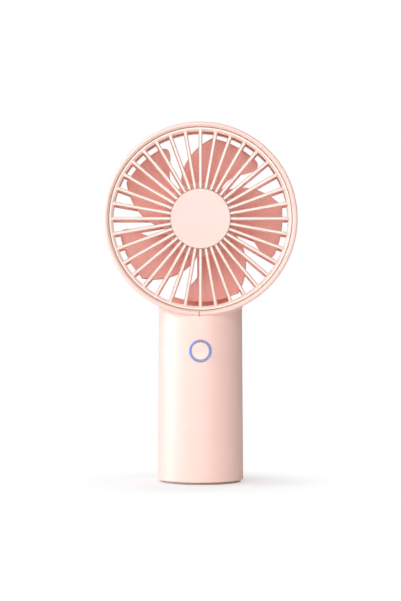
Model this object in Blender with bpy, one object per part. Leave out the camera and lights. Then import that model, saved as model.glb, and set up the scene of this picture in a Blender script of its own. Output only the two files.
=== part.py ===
"""Handheld electric fan: a round head with a front and a rear grille, on a straight hollow handle.

Metres, +Z up. The origin is the centre of the face that the fan stands on, its front faces -Y, and
the impeller turns about a line parallel to Y through the centre of the head. Pieces of the head are
modelled about that line in a frame whose +Z points forward and whose +Y points up, which an empty
places. Angles round the head are in degrees, clockwise from the top as seen from the front.
"""

import math

import bmesh
import bpy
from mathutils import Matrix, Vector

# ---------------------------------------------------------------- driving dimensions
HEAD_RADIUS = 0.0550
HEAD_FRONT = 0.0250  # forward of the impeller's centre plane
HEAD_BACK = 0.0200  # behind it
SHELL_WALL = 0.0020
HANDLE_RADIUS = 0.0240  # at the top, under the head
HANDLE_FLARE = 0.0007  # added at the foot
HANDLE_LENGTH = 0.0960  # from the ground to the lowest point of the head
HANDLE_WALL = 0.0020
FIT_GAP = 0.0003  # between pieces that touch in the real fan
RUNNING_GAP = 0.0004  # between what turns and what stands
JOIN = 0.0001  # keeps the faces of shapes that merge from coinciding

# ---------------------------------------------------------------- head shell
RIM_SEAT_WALL = 0.0029  # wall round the front grille
RIM_SLOPE_DEPTH = 0.0016
RIM_EDGE = 0.0008  # the rounding of the outer front edge
RIM_BREAK = 0.0003  # its steep outer part
SEAT_BREAK = 0.0002  # the small chamfers beside the crest and the seat
RIM_LIP = 0.0009  # flat crest of the front edge
LEDGE_REACH = 0.0047  # the ledge that the front grille sits on, in from the outside
LEDGE_THICKNESS = 0.0012
LEDGE_DEPTH = 0.0063  # from the front edge to the ledge
BEAD_REACH = 0.0031  # the bead that the rear grille stops against
BEAD_THICKNESS = 0.0010
BACK_EDGE_RADIUS = 0.0018
SHOULDER_RISE = 0.0075  # the handle's back runs up this far past the head's lowest point
SHOULDER_SLOPE = 0.0105  # its fall from the head to the handle's back
SHOULDER_SET_IN = 0.0006  # where the slope starts, in from the head's back face
ROOF_WALL = 0.0020  # between the head and the hollow of the handle
LEAD_HOLE_RADIUS = 0.0016

# ---------------------------------------------------------------- front grille
RIB_COUNT = 36
RIB_WIDTH = 0.0014
RIB_DEPTH = 0.0026
RIB_SET_BACK = 0.0006  # rib faces behind the front edge of the head
RIB_BEND = 0.0032  # the outer stretch of a rib, which falls back to the ring
RING_SET_BACK = 0.0016
RING_WIDTH = 0.0022
RING_BEVEL = 0.0012
HUB_CAP_RADIUS = 0.0170
HUB_CAP_THICKNESS = 0.0013
HUB_CAP_SET_BACK = 0.0003
HUB_CAP_EDGE = 0.0004
HUB_PLATE_THICKNESS = 0.0015
HUB_PLATE_SET_IN = 0.0008  # from the cap's edge to the plate's
RIB_ROOT = 0.0012  # length of rib inside the plate
RIB_END_DROP = 0.0004  # the rib's end below the ring's face
CAP_STEM_RADIUS = 0.0026
CAP_STEM_LENGTH = 0.0026

# ---------------------------------------------------------------- rear grille
REAR_RING_WIDTH = 0.0014
REAR_RING_DEPTH = 0.0071
REAR_RING_EDGE = 0.0008
REAR_RIB_WIDTH = 0.0016
REAR_RIB_DEPTH = 0.0030
REAR_RIB_SET_BACK = 0.0035
REAR_HUB_RADIUS = 0.0210
REAR_HUB_THICKNESS = 0.0030
REAR_RIB_ROOT = 0.0015  # length of rib inside the hub
REAR_CAP_RADIUS = 0.0190
REAR_CAP_THICKNESS = 0.0014
REAR_CAP_EDGE = 0.0006
TONGUE_HALF_ANGLE = 21.0  # the blind part of the rear grille in front of the handle
TONGUE_HEIGHT = 0.0048
CHANNEL_WALL = 0.0008
CHANNEL_DEPTH = 0.0022
CHANNEL_ROOT = 0.0012  # length of channel inside the hub
CHANNEL_SINK = 0.0005  # its foot inside the rib
CHANNEL_BITE = 0.0010  # its outer end inside the tongue

# ---------------------------------------------------------------- impeller
BLADE_COUNT = 5
BLADE_TIP_GAP = 0.0057  # from the tips to the shell's wall
BLADE_THICKNESS = 0.0011
BLADE_CAMBER = 0.0016
BLADE_ROWS = 7
BLADE_COLUMNS = 5
HUB_RADIUS = 0.0214
HUB_WALL = 0.0014
HUB_FACE = 0.0016
HUB_FRONT = 0.0160  # the hub's face, forward of the centre plane
HUB_DEPTH = 0.0210
HUB_EDGE_RADIUS = 0.0012
HUB_BOSS_RADIUS = 0.0040
TRAILING_SWEEP = (-30.0, 31.0, 8.4)  # the edge's angle: at the root, and by the span and its square
LEADING_SWEEP = (33.5, 14.0)  # at the root, and added over the middle of the span
LEADING_RISE = (0.15, 0.70)  # where along the span it starts, and over how much
TIP_ROUND = (0.12, 6.0)  # the share of the span that the leading corner rounds off, and its angle
TRAILING_ROOT = 0.0130  # how far forward each edge of a blade stands, at its root and tip
TRAILING_TIP = 0.0075
LEADING_ROOT = -0.0040
LEADING_TIP = -0.0020

# ---------------------------------------------------------------- motor
SHAFT_RADIUS = 0.0015
SHAFT_BITE = 0.0020  # how far the shaft goes into the impeller's boss
BUSH_WALL = 0.0022
BUSH_LENGTH = 0.0040
TUBE_WALL = 0.0012
TUBE_FLANGE = 0.0020
TUBE_FLANGE_THICKNESS = 0.0015
STATOR_RADIUS = 0.0112
STATOR_THICKNESS = 0.0080
STATOR_REAR = 0.0  # from the centre plane
STATOR_CORE_WALL = 0.0012
TOOTH_COUNT = 6
TOOTH_WIDTH = 0.0022
TOOTH_ROOT = 0.0006  # length of tooth inside the core
TOOTH_HEAD_THICKNESS = 0.0010
TOOTH_HEAD_WIDTH = 0.0080
COIL_THICKNESS = 0.0011
MAGNET_WALL = 0.0013
BELL_WALL = 0.0010
BELL_OVERHANG = 0.0010
COLLAR_WALL = 0.0012
COLLAR_LENGTH = 0.0080
MOTOR_BOARD_THICKNESS = 0.0010
MOTOR_BOARD_WIDTH = 0.0062
MOTOR_PLATE_THICKNESS = 0.0020
MOTOR_PLATE_BACK = 0.0080  # behind the centre plane
MOTOR_PLATE_RADIUS = 0.0148
PLATE_POST_RADIUS = 0.0012
PLATE_POST_ROOT = 0.0003
MOTOR_SCREW_CIRCLE = 0.0115
MOTOR_SCREW_COUNT = 3
MOTOR_BOSS_RADIUS = 0.0026
CLIP_THICKNESS = 0.0006
CLIP_WIDTH = 0.0016
CLIP_MOUTH = 0.0016
CLIP_GROOVE_DEPTH = 0.0004

# ---------------------------------------------------------------- screws
SCREW_RADIUS = 0.0009
SCREW_LENGTH = 0.0060
SCREW_HEAD_RADIUS = 0.0019
SCREW_HEAD_THICKNESS = 0.0011
BOSS_FLOOR = 0.0015  # plastic left past the end of a screw hole
BOSS_ROOT = 0.0005  # length of boss inside what it stands on

# ---------------------------------------------------------------- power button
BUTTON_HEIGHT = 0.0760
BUTTON_RADIUS = 0.00505
BUTTON_RECESS = 0.0001
BUTTON_LENGTH = 0.001355  # from where the light ring's collar meets the wall to the button's flange
BUTTON_FLANGE = 0.0008
BUTTON_FLANGE_THICKNESS = 0.0006
BUTTON_TRAVEL = 0.0008
LIGHT_BAND = 0.00105
LIGHT_COLLAR = 0.0012
LIGHT_COLLAR_LENGTH = 0.0045
LIGHT_STEP_THICKNESS = 0.0009
SWITCH_SIZE = 0.0060
SWITCH_THICKNESS = 0.0024
PLUNGER_RADIUS = 0.0016
PLUNGER_LENGTH = 0.0021
PLUNGER_PROUD = 0.0012

# ---------------------------------------------------------------- main board
BOARD_WIDTH = 0.0280
BOARD_THICKNESS = 0.0012
BOARD_BELOW_BUTTON = 0.0400
BOARD_HEADROOM = 0.0045  # from its top to the head
BOARD_ABOVE_BUTTON = 0.0150
BOARD_SCREW_SPREAD = 0.0110
LED_LENGTH = 0.0016
LED_WIDTH = 0.0008
LED_THICKNESS = 0.0007
LED_COUNT = 4
CHIP_SIZE = 0.0060
CHIP_THICKNESS = 0.0012
CHIP_BELOW_BUTTON = 0.0170
INDUCTOR_RADIUS = 0.0030
INDUCTOR_THICKNESS = 0.0028
INDUCTOR_BELOW_BUTTON = 0.0300

# ---------------------------------------------------------------- battery
CELL_RADIUS = 0.0092
CELL_LENGTH = 0.0650
CELL_EDGE = 0.0005
CELL_NUB_RADIUS = 0.0028
CELL_NUB_HEIGHT = 0.0009
CELL_SPACING = 0.0192
STRIP_THICKNESS = 0.0003
STRIP_WIDTH = 0.0060
TAB_WIDTH = 0.0040
TAB_FRONT = 0.0112
CRADLE_PLATE = 0.0025
CRADLE_TOP = 0.0044
CRADLE_BACK_WALL = 0.0015
CRADLE_BACK_WIDTH = 0.0180
CRADLE_HALF_WIDTH = 0.0170
CRADLE_POST_WIDTH = 0.0050
CRADLE_OVERLAP = 0.0004  # how far its plates run into its back wall
CRADLE_POST_ROOT = 0.0010

# ---------------------------------------------------------------- foot of the handle
FOOT_EDGE_RADIUS = 0.0012
FOOT_FLANGE_SET_IN = 0.0015
FOOT_FLANGE_THICKNESS = 0.0007
FOOT_PLUG_LENGTH = 0.0031
PAD_SET_IN = 0.0016  # from the flange's edge to the pad
PAD_THICKNESS = 0.0008
PAD_PROUD = 0.0002
FOOT_SCREW_INSET = 0.0033  # from the inside of the handle's wall to the screws
FOOT_SCREW_ANGLES = (48.0, 132.0, 270.0)
FOOT_BOSS_RADIUS = 0.0035
FOOT_BOSS_LENGTH = 0.0100

# ---------------------------------------------------------------- charging socket
SOCKET_WIDTH = 0.0090
SOCKET_HEIGHT = 0.0032
SOCKET_WALL = 0.0004
SOCKET_DEPTH = 0.0085
SOCKET_SET_IN = 0.0006
SOCKET_LEVEL = 0.0140
TONGUE_WIDTH = 0.0066
TONGUE_THICKNESS = 0.0007
TONGUE_LENGTH = 0.0048
USB_BOARD_WIDTH = 0.0140
USB_BOARD_HEIGHT = 0.0180
USB_BOARD_LOW = 0.0064

# ---------------------------------------------------------------- wires
MOTOR_LEAD_RADIUS = 0.0008
POWER_LEAD_RADIUS = 0.0006

# ---------------------------------------------------------------- facets
HEAD_FACETS = 60
HANDLE_FACETS = 40
DISC_FACETS = 36
SMALL_FACETS = 24
TINY_FACETS = 12
SMOOTH_ANGLE = math.radians(35)
BODY_SOLVER = "MANIFOLD"  # for the many curved surfaces that meet in the body

# ---------------------------------------------------------------- derived places
PILOT_RADIUS = SCREW_RADIUS + FIT_GAP
HEAD_HEIGHT = HANDLE_LENGTH + HEAD_RADIUS
FOOT_LOW = PAD_PROUD + FOOT_FLANGE_THICKNESS + FIT_GAP
SHELL_BORE = HEAD_RADIUS - SHELL_WALL
SEAT_RADIUS = HEAD_RADIUS - RIM_SEAT_WALL
LEDGE_FRONT = HEAD_FRONT - LEDGE_DEPTH
RIB_FACE = HEAD_FRONT - RIB_SET_BACK
RING_FACE = HEAD_FRONT - RING_SET_BACK
RING_OUTER = SEAT_RADIUS - FIT_GAP
RING_INNER = RING_OUTER - RING_WIDTH
CAP_FACE = HEAD_FRONT - HUB_CAP_SET_BACK
CAP_BACK = CAP_FACE - HUB_CAP_THICKNESS
PLATE_FACE = CAP_BACK - FIT_GAP
PLATE_BACK = PLATE_FACE - HUB_PLATE_THICKNESS
REAR_RING_OUTER = SHELL_BORE - FIT_GAP
REAR_RING_INNER = REAR_RING_OUTER - REAR_RING_WIDTH
REAR_RING_BACK = -HEAD_BACK + FIT_GAP
REAR_RING_FRONT = REAR_RING_BACK + REAR_RING_DEPTH
BEAD_BACK = REAR_RING_FRONT + FIT_GAP
REAR_RIB_BACK = -HEAD_BACK + REAR_RIB_SET_BACK
REAR_RIB_FRONT = REAR_RIB_BACK + REAR_RIB_DEPTH
REAR_HUB_BACK = REAR_RIB_BACK - FIT_GAP
REAR_HUB_FRONT = REAR_HUB_BACK + REAR_HUB_THICKNESS
BLADE_TIP = SHELL_BORE - BLADE_TIP_GAP
HUB_BACK = HUB_FRONT - HUB_DEPTH
HUB_INNER_FACE = HUB_FRONT - HUB_FACE

BUSH_BORE = SHAFT_RADIUS + FIT_GAP
BUSH_RADIUS = BUSH_BORE + BUSH_WALL
TUBE_BORE = BUSH_RADIUS + FIT_GAP
TUBE_RADIUS = TUBE_BORE + TUBE_WALL
STATOR_BORE = TUBE_RADIUS + FIT_GAP
STATOR_FRONT = STATOR_REAR + STATOR_THICKNESS
MAGNET_BORE = STATOR_RADIUS + RUNNING_GAP
MAGNET_RADIUS = MAGNET_BORE + MAGNET_WALL
BELL_BORE = MAGNET_RADIUS + FIT_GAP
BELL_RADIUS = BELL_BORE + BELL_WALL
COLLAR_BORE = BELL_RADIUS + FIT_GAP
BELL_BACK = STATOR_REAR - BELL_OVERHANG
HUB_BOSS_BACK = HUB_INNER_FACE - 5 * FIT_GAP
BELL_FRONT = HUB_BOSS_BACK - FIT_GAP
BELL_INNER_FACE = BELL_FRONT - BELL_WALL
TUBE_FRONT = BELL_INNER_FACE - 2 * FIT_GAP
FRONT_BUSH_FRONT = TUBE_FRONT - FIT_GAP
MOTOR_PLATE_FRONT = MOTOR_PLATE_THICKNESS - MOTOR_PLATE_BACK
TUBE_BACK = -MOTOR_PLATE_BACK - FIT_GAP - TUBE_FLANGE_THICKNESS
REAR_BUSH_BACK = TUBE_BACK + FIT_GAP
CLIP_FRONT = TUBE_BACK - FIT_GAP
CLIP_BACK = CLIP_FRONT - CLIP_THICKNESS
SHAFT_BACK = CLIP_BACK - 2 * CLIP_THICKNESS
SHAFT_FRONT = HUB_BOSS_BACK + SHAFT_BITE
MOTOR_BOARD_FRONT = STATOR_REAR - COIL_THICKNESS - 5 * FIT_GAP
MOTOR_BOARD_BACK = MOTOR_BOARD_FRONT - MOTOR_BOARD_THICKNESS
LEAD_PLANE = REAR_RIB_FRONT + FIT_GAP + MOTOR_LEAD_RADIUS


def handle_radius(height):
    """Outer radius of the handle, which widens evenly from its top to its foot."""
    share = 1.0 - min(max(height / HANDLE_LENGTH, 0.0), 1.0)
    return HANDLE_RADIUS + HANDLE_FLARE * share


BUTTON_CROWN = -handle_radius(BUTTON_HEIGHT)
LIGHT_BORE = BUTTON_RADIUS + FIT_GAP
LIGHT_RADIUS = LIGHT_BORE + LIGHT_BAND
LIGHT_COLLAR_RADIUS = LIGHT_RADIUS + LIGHT_COLLAR
WALL_INSIDE = -BUTTON_CROWN - HANDLE_WALL
COLLAR_SEAT = -math.sqrt(WALL_INSIDE ** 2 - LIGHT_COLLAR_RADIUS ** 2)
BUTTON_FLANGE_FRONT = COLLAR_SEAT + BUTTON_LENGTH
BUTTON_BACK = BUTTON_FLANGE_FRONT + BUTTON_FLANGE_THICKNESS
LIGHT_STEP = BUTTON_FLANGE_FRONT - FIT_GAP
LIGHT_COLLAR_FRONT = LIGHT_STEP - LIGHT_STEP_THICKNESS
LIGHT_BACK = LIGHT_COLLAR_FRONT + LIGHT_COLLAR_LENGTH
PLUNGER_FRONT = BUTTON_BACK + FIT_GAP
SWITCH_FRONT = PLUNGER_FRONT + PLUNGER_PROUD
SWITCH_BACK = SWITCH_FRONT + SWITCH_THICKNESS
BOARD_FRONT = SWITCH_BACK + FIT_GAP
BOARD_BACK = BOARD_FRONT + BOARD_THICKNESS
BOARD_TOP = min(BUTTON_HEIGHT + BOARD_ABOVE_BUTTON, HANDLE_LENGTH - BOARD_HEADROOM)
BOARD_LOW = BUTTON_HEIGHT - BOARD_BELOW_BUTTON

FLANGE_RADIUS = handle_radius(0.0) - FOOT_FLANGE_SET_IN
FLANGE_TOP = PAD_PROUD + FOOT_FLANGE_THICKNESS
PAD_RADIUS = FLANGE_RADIUS - PAD_SET_IN
PLUG_RADIUS = handle_radius(0.0) - HANDLE_WALL - FIT_GAP
PLUG_TOP = FLANGE_TOP + FOOT_PLUG_LENGTH
POCKET_TOP = PAD_THICKNESS + FIT_GAP
FOOT_SCREW_CIRCLE = handle_radius(0.0) - HANDLE_WALL - FOOT_SCREW_INSET
CRADLE_LOW = PLUG_TOP + FIT_GAP
LINK_LOW = CRADLE_LOW + CRADLE_PLATE + FIT_GAP
CELL_LOW = LINK_LOW + STRIP_THICKNESS + FIT_GAP
CELL_HIGH = CELL_LOW + CELL_LENGTH
TAB_LOW = CELL_HIGH + FIT_GAP
CRADLE_TOP_LOW = TAB_LOW + STRIP_THICKNESS + FIT_GAP
CRADLE_HIGH = CRADLE_TOP_LOW + CRADLE_TOP
CRADLE_WALL_FRONT = CELL_RADIUS + FIT_GAP
CRADLE_WALL_BACK = CRADLE_WALL_FRONT + CRADLE_BACK_WALL
CRADLE_POST_FRONT = BOARD_BACK + FIT_GAP
SOCKET_MOUTH = handle_radius(SOCKET_LEVEL) - SOCKET_SET_IN
SOCKET_BACK = SOCKET_MOUTH - SOCKET_DEPTH
USB_BOARD_BACK = SOCKET_BACK - FIT_GAP
USB_BOARD_FRONT = USB_BOARD_BACK - BOARD_THICKNESS

PEACH = "F8D3C6"
CREAM_PEACH = "FBE2D9"
CORAL = "E2948A"


# ---------------------------------------------------------------- materials
def linear(channel):
    """One sRGB channel, 0 to 1, as the linear value that a shader takes."""
    if channel <= 0.04045:
        return channel / 12.92
    return ((channel + 0.055) / 1.055) ** 2.4


def material(name, colour, roughness, metallic=0.0):
    """A Principled material of one colour, given as an sRGB hex value."""
    made = bpy.data.materials.get(name)
    if made:
        return made
    made = bpy.data.materials.new(name)
    made.use_nodes = True
    shader = made.node_tree.nodes["Principled BSDF"]
    channels = [linear(int(colour[i:i + 2], 16) / 255) for i in (0, 2, 4)]
    shader.inputs["Base Color"].default_value = (*channels, 1.0)
    shader.inputs["Roughness"].default_value = roughness
    shader.inputs["Metallic"].default_value = metallic
    made.diffuse_color = (*channels, 1.0)
    return made


# ---------------------------------------------------------------- building tools
def clear_scene():
    for old in list(bpy.data.objects):
        bpy.data.objects.remove(old, do_unlink=True)


def empty(name, location, rotation=(0.0, 0.0, 0.0)):
    """An empty that carries the pieces set about one axis."""
    made = bpy.data.objects.new(name, None)
    made.location = location
    made.rotation_euler = rotation
    bpy.context.scene.collection.objects.link(made)
    return made


def finish(bm, name, finish_material, parent=None, location=(0.0, 0.0, 0.0)):
    """Turn a bmesh into a named object with its faces outward and its round sides smooth."""
    bmesh.ops.remove_doubles(bm, verts=bm.verts, dist=1e-7)
    bmesh.ops.recalc_face_normals(bm, faces=bm.faces)
    mesh = bpy.data.meshes.new(name)
    bm.to_mesh(mesh)
    bm.free()
    mesh.shade_smooth()
    mesh.set_sharp_from_angle(angle=SMOOTH_ANGLE)
    mesh.materials.append(finish_material)
    made = bpy.data.objects.new(name, mesh)
    made.location = location
    made.parent = parent
    bpy.context.scene.collection.objects.link(made)
    return made


def guide(bm, name, parent=None, location=(0.0, 0.0, 0.0)):
    """A shape that only cuts or adds to another."""
    made = finish(bm, name, material("guide", "808080", 0.5), parent, location)
    made.hide_render = True
    made.display_type = "WIRE"
    return made


def combine(target, other, operation, solver="EXACT"):
    """Add, cut or keep the part of target that other marks, with a live Boolean."""
    step = target.modifiers.new(other.name, "BOOLEAN")
    step.operation = operation
    step.solver = solver
    step.object = other


def turned(profile, facets, closed=True):
    """A bmesh turned about Z from (radius, height) points; an open profile ends on the axis."""
    bm = bmesh.new()
    points = [bm.verts.new((radius, 0.0, height)) for radius, height in profile]
    edges = [bm.edges.new(pair) for pair in zip(points, points[1:])]
    if closed:
        edges.append(bm.edges.new((points[-1], points[0])))
    outline = points + edges
    full = 2 * math.pi
    bmesh.ops.spin(bm, geom=outline, cent=(0, 0, 0), axis=(0, 0, 1), angle=full, steps=facets, use_merge=True)
    return bm


def cylinder(radius, low, high, facets):
    """A plain turned solid between two heights."""
    return turned([(0, low), (radius, low), (radius, high), (0, high)], facets, closed=False)


def ring(inner, outer, low, high, facets):
    return turned([(inner, low), (outer, low), (outer, high), (inner, high)], facets)


def blind_boss(radius, bore, mouth, end, floor):
    """A round boss from its mouth to its end, bored from the mouth to the floor of the hole."""
    profile = [(0, end), (radius, end), (radius, mouth), (bore, mouth), (bore, floor), (0, floor)]
    return turned(profile, TINY_FACETS, closed=False)


def block(low, high):
    """A box between two opposite corners."""
    low = Vector(low)
    high = Vector(high)
    bm = bmesh.new()
    bmesh.ops.create_cube(bm, size=1.0)
    bmesh.ops.scale(bm, vec=high - low, verts=bm.verts)
    bmesh.ops.translate(bm, vec=(high + low) / 2, verts=bm.verts)
    return bm


def slab(outline, low, high):
    """An outline of (x, y) points raised between two heights."""
    bm = bmesh.new()
    face = bm.faces.new([bm.verts.new((x, y, low)) for x, y in outline])
    raised = bmesh.ops.extrude_face_region(bm, geom=[face])
    top = [item for item in raised["geom"] if isinstance(item, bmesh.types.BMVert)]
    bmesh.ops.translate(bm, vec=(0, 0, high - low), verts=top)
    return bm


def arc(centre, radius, start, end, steps):
    """Points of an arc between two angles in degrees, both ends included."""
    points = []
    for step in range(steps + 1):
        angle = math.radians(start + (end - start) * step / steps)
        points.append((centre[0] + radius * math.cos(angle), centre[1] + radius * math.sin(angle)))
    return points


def turn_clockwise(degrees):
    """Rotation about the head's axis, clockwise as seen from the front."""
    return Matrix.Rotation(-math.radians(degrees), 4, "Z")


def repeat_round(bm, angles):
    """Replace what the bmesh holds by copies of it turned to each angle."""
    original = list(bm.verts) + list(bm.edges) + list(bm.faces)
    for angle in angles:
        copy = bmesh.ops.duplicate(bm, geom=original)["geom"]
        corners = [item for item in copy if isinstance(item, bmesh.types.BMVert)]
        bmesh.ops.transform(bm, matrix=turn_clockwise(angle), verts=corners)
    bmesh.ops.delete(bm, geom=[item for item in original if isinstance(item, bmesh.types.BMVert)])


def evenly(count, start=0.0):
    return [start + 360.0 * step / count for step in range(count)]


def on_circle(radius, degrees):
    """(x, y) at an angle clockwise from the top of the head."""
    return radius * math.sin(math.radians(degrees)), radius * math.cos(math.radians(degrees))


def rib(side, width):
    """A rib along +Y, whose side view is given as (radius, height) points."""
    bm = bmesh.new()
    face = bm.faces.new([bm.verts.new((-width / 2, radius, height)) for radius, height in side])
    raised = bmesh.ops.extrude_face_region(bm, geom=[face])
    far = [item for item in raised["geom"] if isinstance(item, bmesh.types.BMVert)]
    bmesh.ops.translate(bm, vec=(width, 0, 0), verts=far)
    return bm


# ---------------------------------------------------------------- body
def make_main_body(head_axis):
    """The head's round shell and the handle, moulded in one piece."""
    outer = HEAD_RADIUS
    bore = SHELL_BORE
    slope_foot = HEAD_FRONT - RIM_SLOPE_DEPTH
    crest = outer - RIM_BREAK - RIM_LIP
    ledge = outer - LEDGE_REACH
    ledge_back = LEDGE_FRONT - LEDGE_THICKNESS
    bead = outer - BEAD_REACH
    bead_front = BEAD_BACK + BEAD_THICKNESS
    back_edge = arc((outer - BACK_EDGE_RADIUS, -HEAD_BACK + BACK_EDGE_RADIUS), BACK_EDGE_RADIUS, -90, 0, 4)
    profile = back_edge + [
        (outer, HEAD_FRONT - RIM_EDGE),
        (outer - RIM_BREAK, HEAD_FRONT - SEAT_BREAK),
        (outer - RIM_EDGE, HEAD_FRONT),
        (crest, HEAD_FRONT - SEAT_BREAK),
        (SEAT_RADIUS + SEAT_BREAK, slope_foot),
        (SEAT_RADIUS, slope_foot - SEAT_BREAK),
        (SEAT_RADIUS, LEDGE_FRONT),
        (ledge, LEDGE_FRONT),
        (ledge, ledge_back),
        (bore, ledge_back),
        (bore, bead_front),
        (bead, bead_front),
        (bead, BEAD_BACK),
        (bore, BEAD_BACK),
        (bore, -HEAD_BACK),
    ]
    plastic = material("peach_shell", PEACH, 0.32)
    body = finish(turned(profile, HEAD_FACETS), "main_body", plastic, head_axis)

    top = HANDLE_LENGTH + SHOULDER_RISE
    foot = handle_radius(0.0)
    foot_edge = arc((foot - FOOT_EDGE_RADIUS, FOOT_LOW + FOOT_EDGE_RADIUS), FOOT_EDGE_RADIUS, -90, 0, 4)
    outline = [(0, FOOT_LOW)] + foot_edge + [(HANDLE_RADIUS, HANDLE_LENGTH), (HANDLE_RADIUS, top), (0, top)]
    handle = guide(turned(outline, HANDLE_FACETS, closed=False), "handle_outside")

    wide = 2 * HANDLE_RADIUS
    slope = bmesh.new()
    start = HEAD_BACK - SHOULDER_SET_IN
    fall = SHOULDER_SLOPE * (wide - start) / (HANDLE_RADIUS - start)
    above = top + wide
    side = [(start, top), (wide, top - fall), (wide, above), (start - wide, above), (start - wide, top)]
    face = slope.faces.new([slope.verts.new((-wide, y, z)) for y, z in side])
    raised = bmesh.ops.extrude_face_region(slope, geom=[face])
    far = [item for item in raised["geom"] if isinstance(item, bmesh.types.BMVert)]
    bmesh.ops.translate(slope, vec=(2 * wide, 0, 0), verts=far)
    combine(handle, guide(slope, "shoulder_slope"), "DIFFERENCE")
    wall_middle = HEAD_RADIUS - SHELL_WALL / 2
    well = cylinder(wall_middle, -HEAD_BACK - FIT_GAP, wide, HEAD_FACETS)
    combine(handle, guide(well, "head_well", head_axis), "DIFFERENCE")
    combine(body, handle, "UNION", BODY_SOLVER)

    hollow_foot = foot - HANDLE_WALL
    hollow_top = HANDLE_RADIUS - HANDLE_WALL
    hollow_outline = [(0, -FOOT_LOW), (hollow_foot, -FOOT_LOW), (hollow_foot, 0)]
    hollow_outline += [(hollow_top, HANDLE_LENGTH), (hollow_top, top), (0, top)]
    hollow = guide(turned(hollow_outline, HANDLE_FACETS, closed=False), "handle_hollow")
    roof = cylinder(HEAD_RADIUS + ROOF_WALL, -wide, wide, HEAD_FACETS)
    combine(hollow, guide(roof, "hollow_roof", head_axis), "DIFFERENCE")
    combine(body, hollow, "DIFFERENCE", BODY_SOLVER)
    boss_end = CRADLE_LOW + FOOT_BOSS_LENGTH
    for number, place in enumerate(foot_screw_places()):
        boss = blind_boss(FOOT_BOSS_RADIUS, PILOT_RADIUS, CRADLE_LOW, boss_end, boss_end - BOSS_FLOOR)
        combine(body, guide(boss, f"foot_boss_{number + 1}", None, place), "UNION", BODY_SOLVER)

    hole_low = HANDLE_LENGTH - 2 * ROOF_WALL
    lead_hole = cylinder(LEAD_HOLE_RADIUS, hole_low, HANDLE_LENGTH + 2 * SHELL_WALL, TINY_FACETS)
    combine(body, guide(lead_hole, "lead_hole", None, (0, -LEAD_PLANE, 0)), "DIFFERENCE", BODY_SOLVER)
    hole_front = BUTTON_CROWN - HANDLE_WALL
    button_hole = cylinder(LIGHT_RADIUS + FIT_GAP, hole_front, BUTTON_FLANGE_FRONT, SMALL_FACETS)
    button_hole = guide(button_hole, "button_hole", bpy.data.objects["button_home"])
    combine(body, button_hole, "DIFFERENCE", BODY_SOLVER)
    mouth = slot_outline(SOCKET_WIDTH + 2 * FIT_GAP, SOCKET_HEIGHT + 2 * FIT_GAP)
    port = slab(mouth, SOCKET_BACK, handle_radius(0.0) + HANDLE_WALL)
    combine(body, guide(port, "port_hole", bpy.data.objects["socket_axis"]), "DIFFERENCE", BODY_SOLVER)


def foot_screw_places():
    """Where the three foot screws stand, on one circle round the handle's axis."""
    places = []
    for angle in FOOT_SCREW_ANGLES:
        x = FOOT_SCREW_CIRCLE * math.cos(math.radians(angle))
        y = FOOT_SCREW_CIRCLE * math.sin(math.radians(angle))
        places.append((x, y, 0.0))
    return places


def slot_outline(width, height):
    """A slot with round ends, as (x, y) points about its centre."""
    radius = height / 2
    reach = width / 2 - radius
    return arc((reach, 0), radius, -90, 90, 6) + arc((-reach, 0), radius, 90, 270, 6)


# ---------------------------------------------------------------- grilles
def make_front_grille(head_axis):
    """Straight ribs from a round plate out to a ring that drops into the shell."""
    plastic = material("cream_peach_grille", CREAM_PEACH, 0.35)
    back = LEDGE_FRONT + FIT_GAP
    bevel_foot = RING_FACE - RING_BEVEL
    section = [
        (RING_INNER, back),
        (RING_OUTER, back),
        (RING_OUTER, RING_FACE),
        (RING_INNER + RING_BEVEL, RING_FACE),
        (RING_INNER, bevel_foot),
    ]
    grille = finish(turned(section, HEAD_FACETS), "front_grille", plastic, head_axis)
    plate_radius = HUB_CAP_RADIUS - HUB_PLATE_SET_IN
    plate = ring(CAP_STEM_RADIUS + FIT_GAP, plate_radius, PLATE_BACK, PLATE_FACE, DISC_FACETS)
    rib_back = RIB_FACE - RIB_DEPTH
    rib_end = (RING_INNER + RING_OUTER) / 2
    rib_start = HUB_CAP_RADIUS + FIT_GAP
    under_cap = plate_radius - RIB_ROOT
    side = [
        (under_cap, rib_back),
        (rib_end, rib_back),
        (rib_end, RING_FACE - RIB_END_DROP),
        (rib_end - RIB_BEND, RIB_FACE),
        (rib_start, RIB_FACE),
        (rib_start, PLATE_FACE - JOIN),
        (under_cap, PLATE_FACE - JOIN),
    ]
    ribs = rib(side, RIB_WIDTH)
    repeat_round(ribs, evenly(RIB_COUNT))
    combine(grille, guide(ribs, "front_ribs", head_axis), "UNION")
    combine(grille, guide(plate, "front_plate", head_axis), "UNION")


def make_front_hub_cap(head_axis):
    """The plain round disc at the middle of the front grille, on a stem."""
    profile = [
        (0, CAP_BACK - CAP_STEM_LENGTH),
        (CAP_STEM_RADIUS, CAP_BACK - CAP_STEM_LENGTH),
        (CAP_STEM_RADIUS, CAP_BACK),
        (HUB_CAP_RADIUS, CAP_BACK),
        (HUB_CAP_RADIUS, CAP_FACE - HUB_CAP_EDGE),
        (HUB_CAP_RADIUS - HUB_CAP_EDGE, CAP_FACE),
        (0, CAP_FACE),
    ]
    cap = turned(profile, DISC_FACETS, closed=False)
    finish(cap, "front_hub_cap", material("cream_peach_cap", CREAM_PEACH, 0.35), head_axis)


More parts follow.
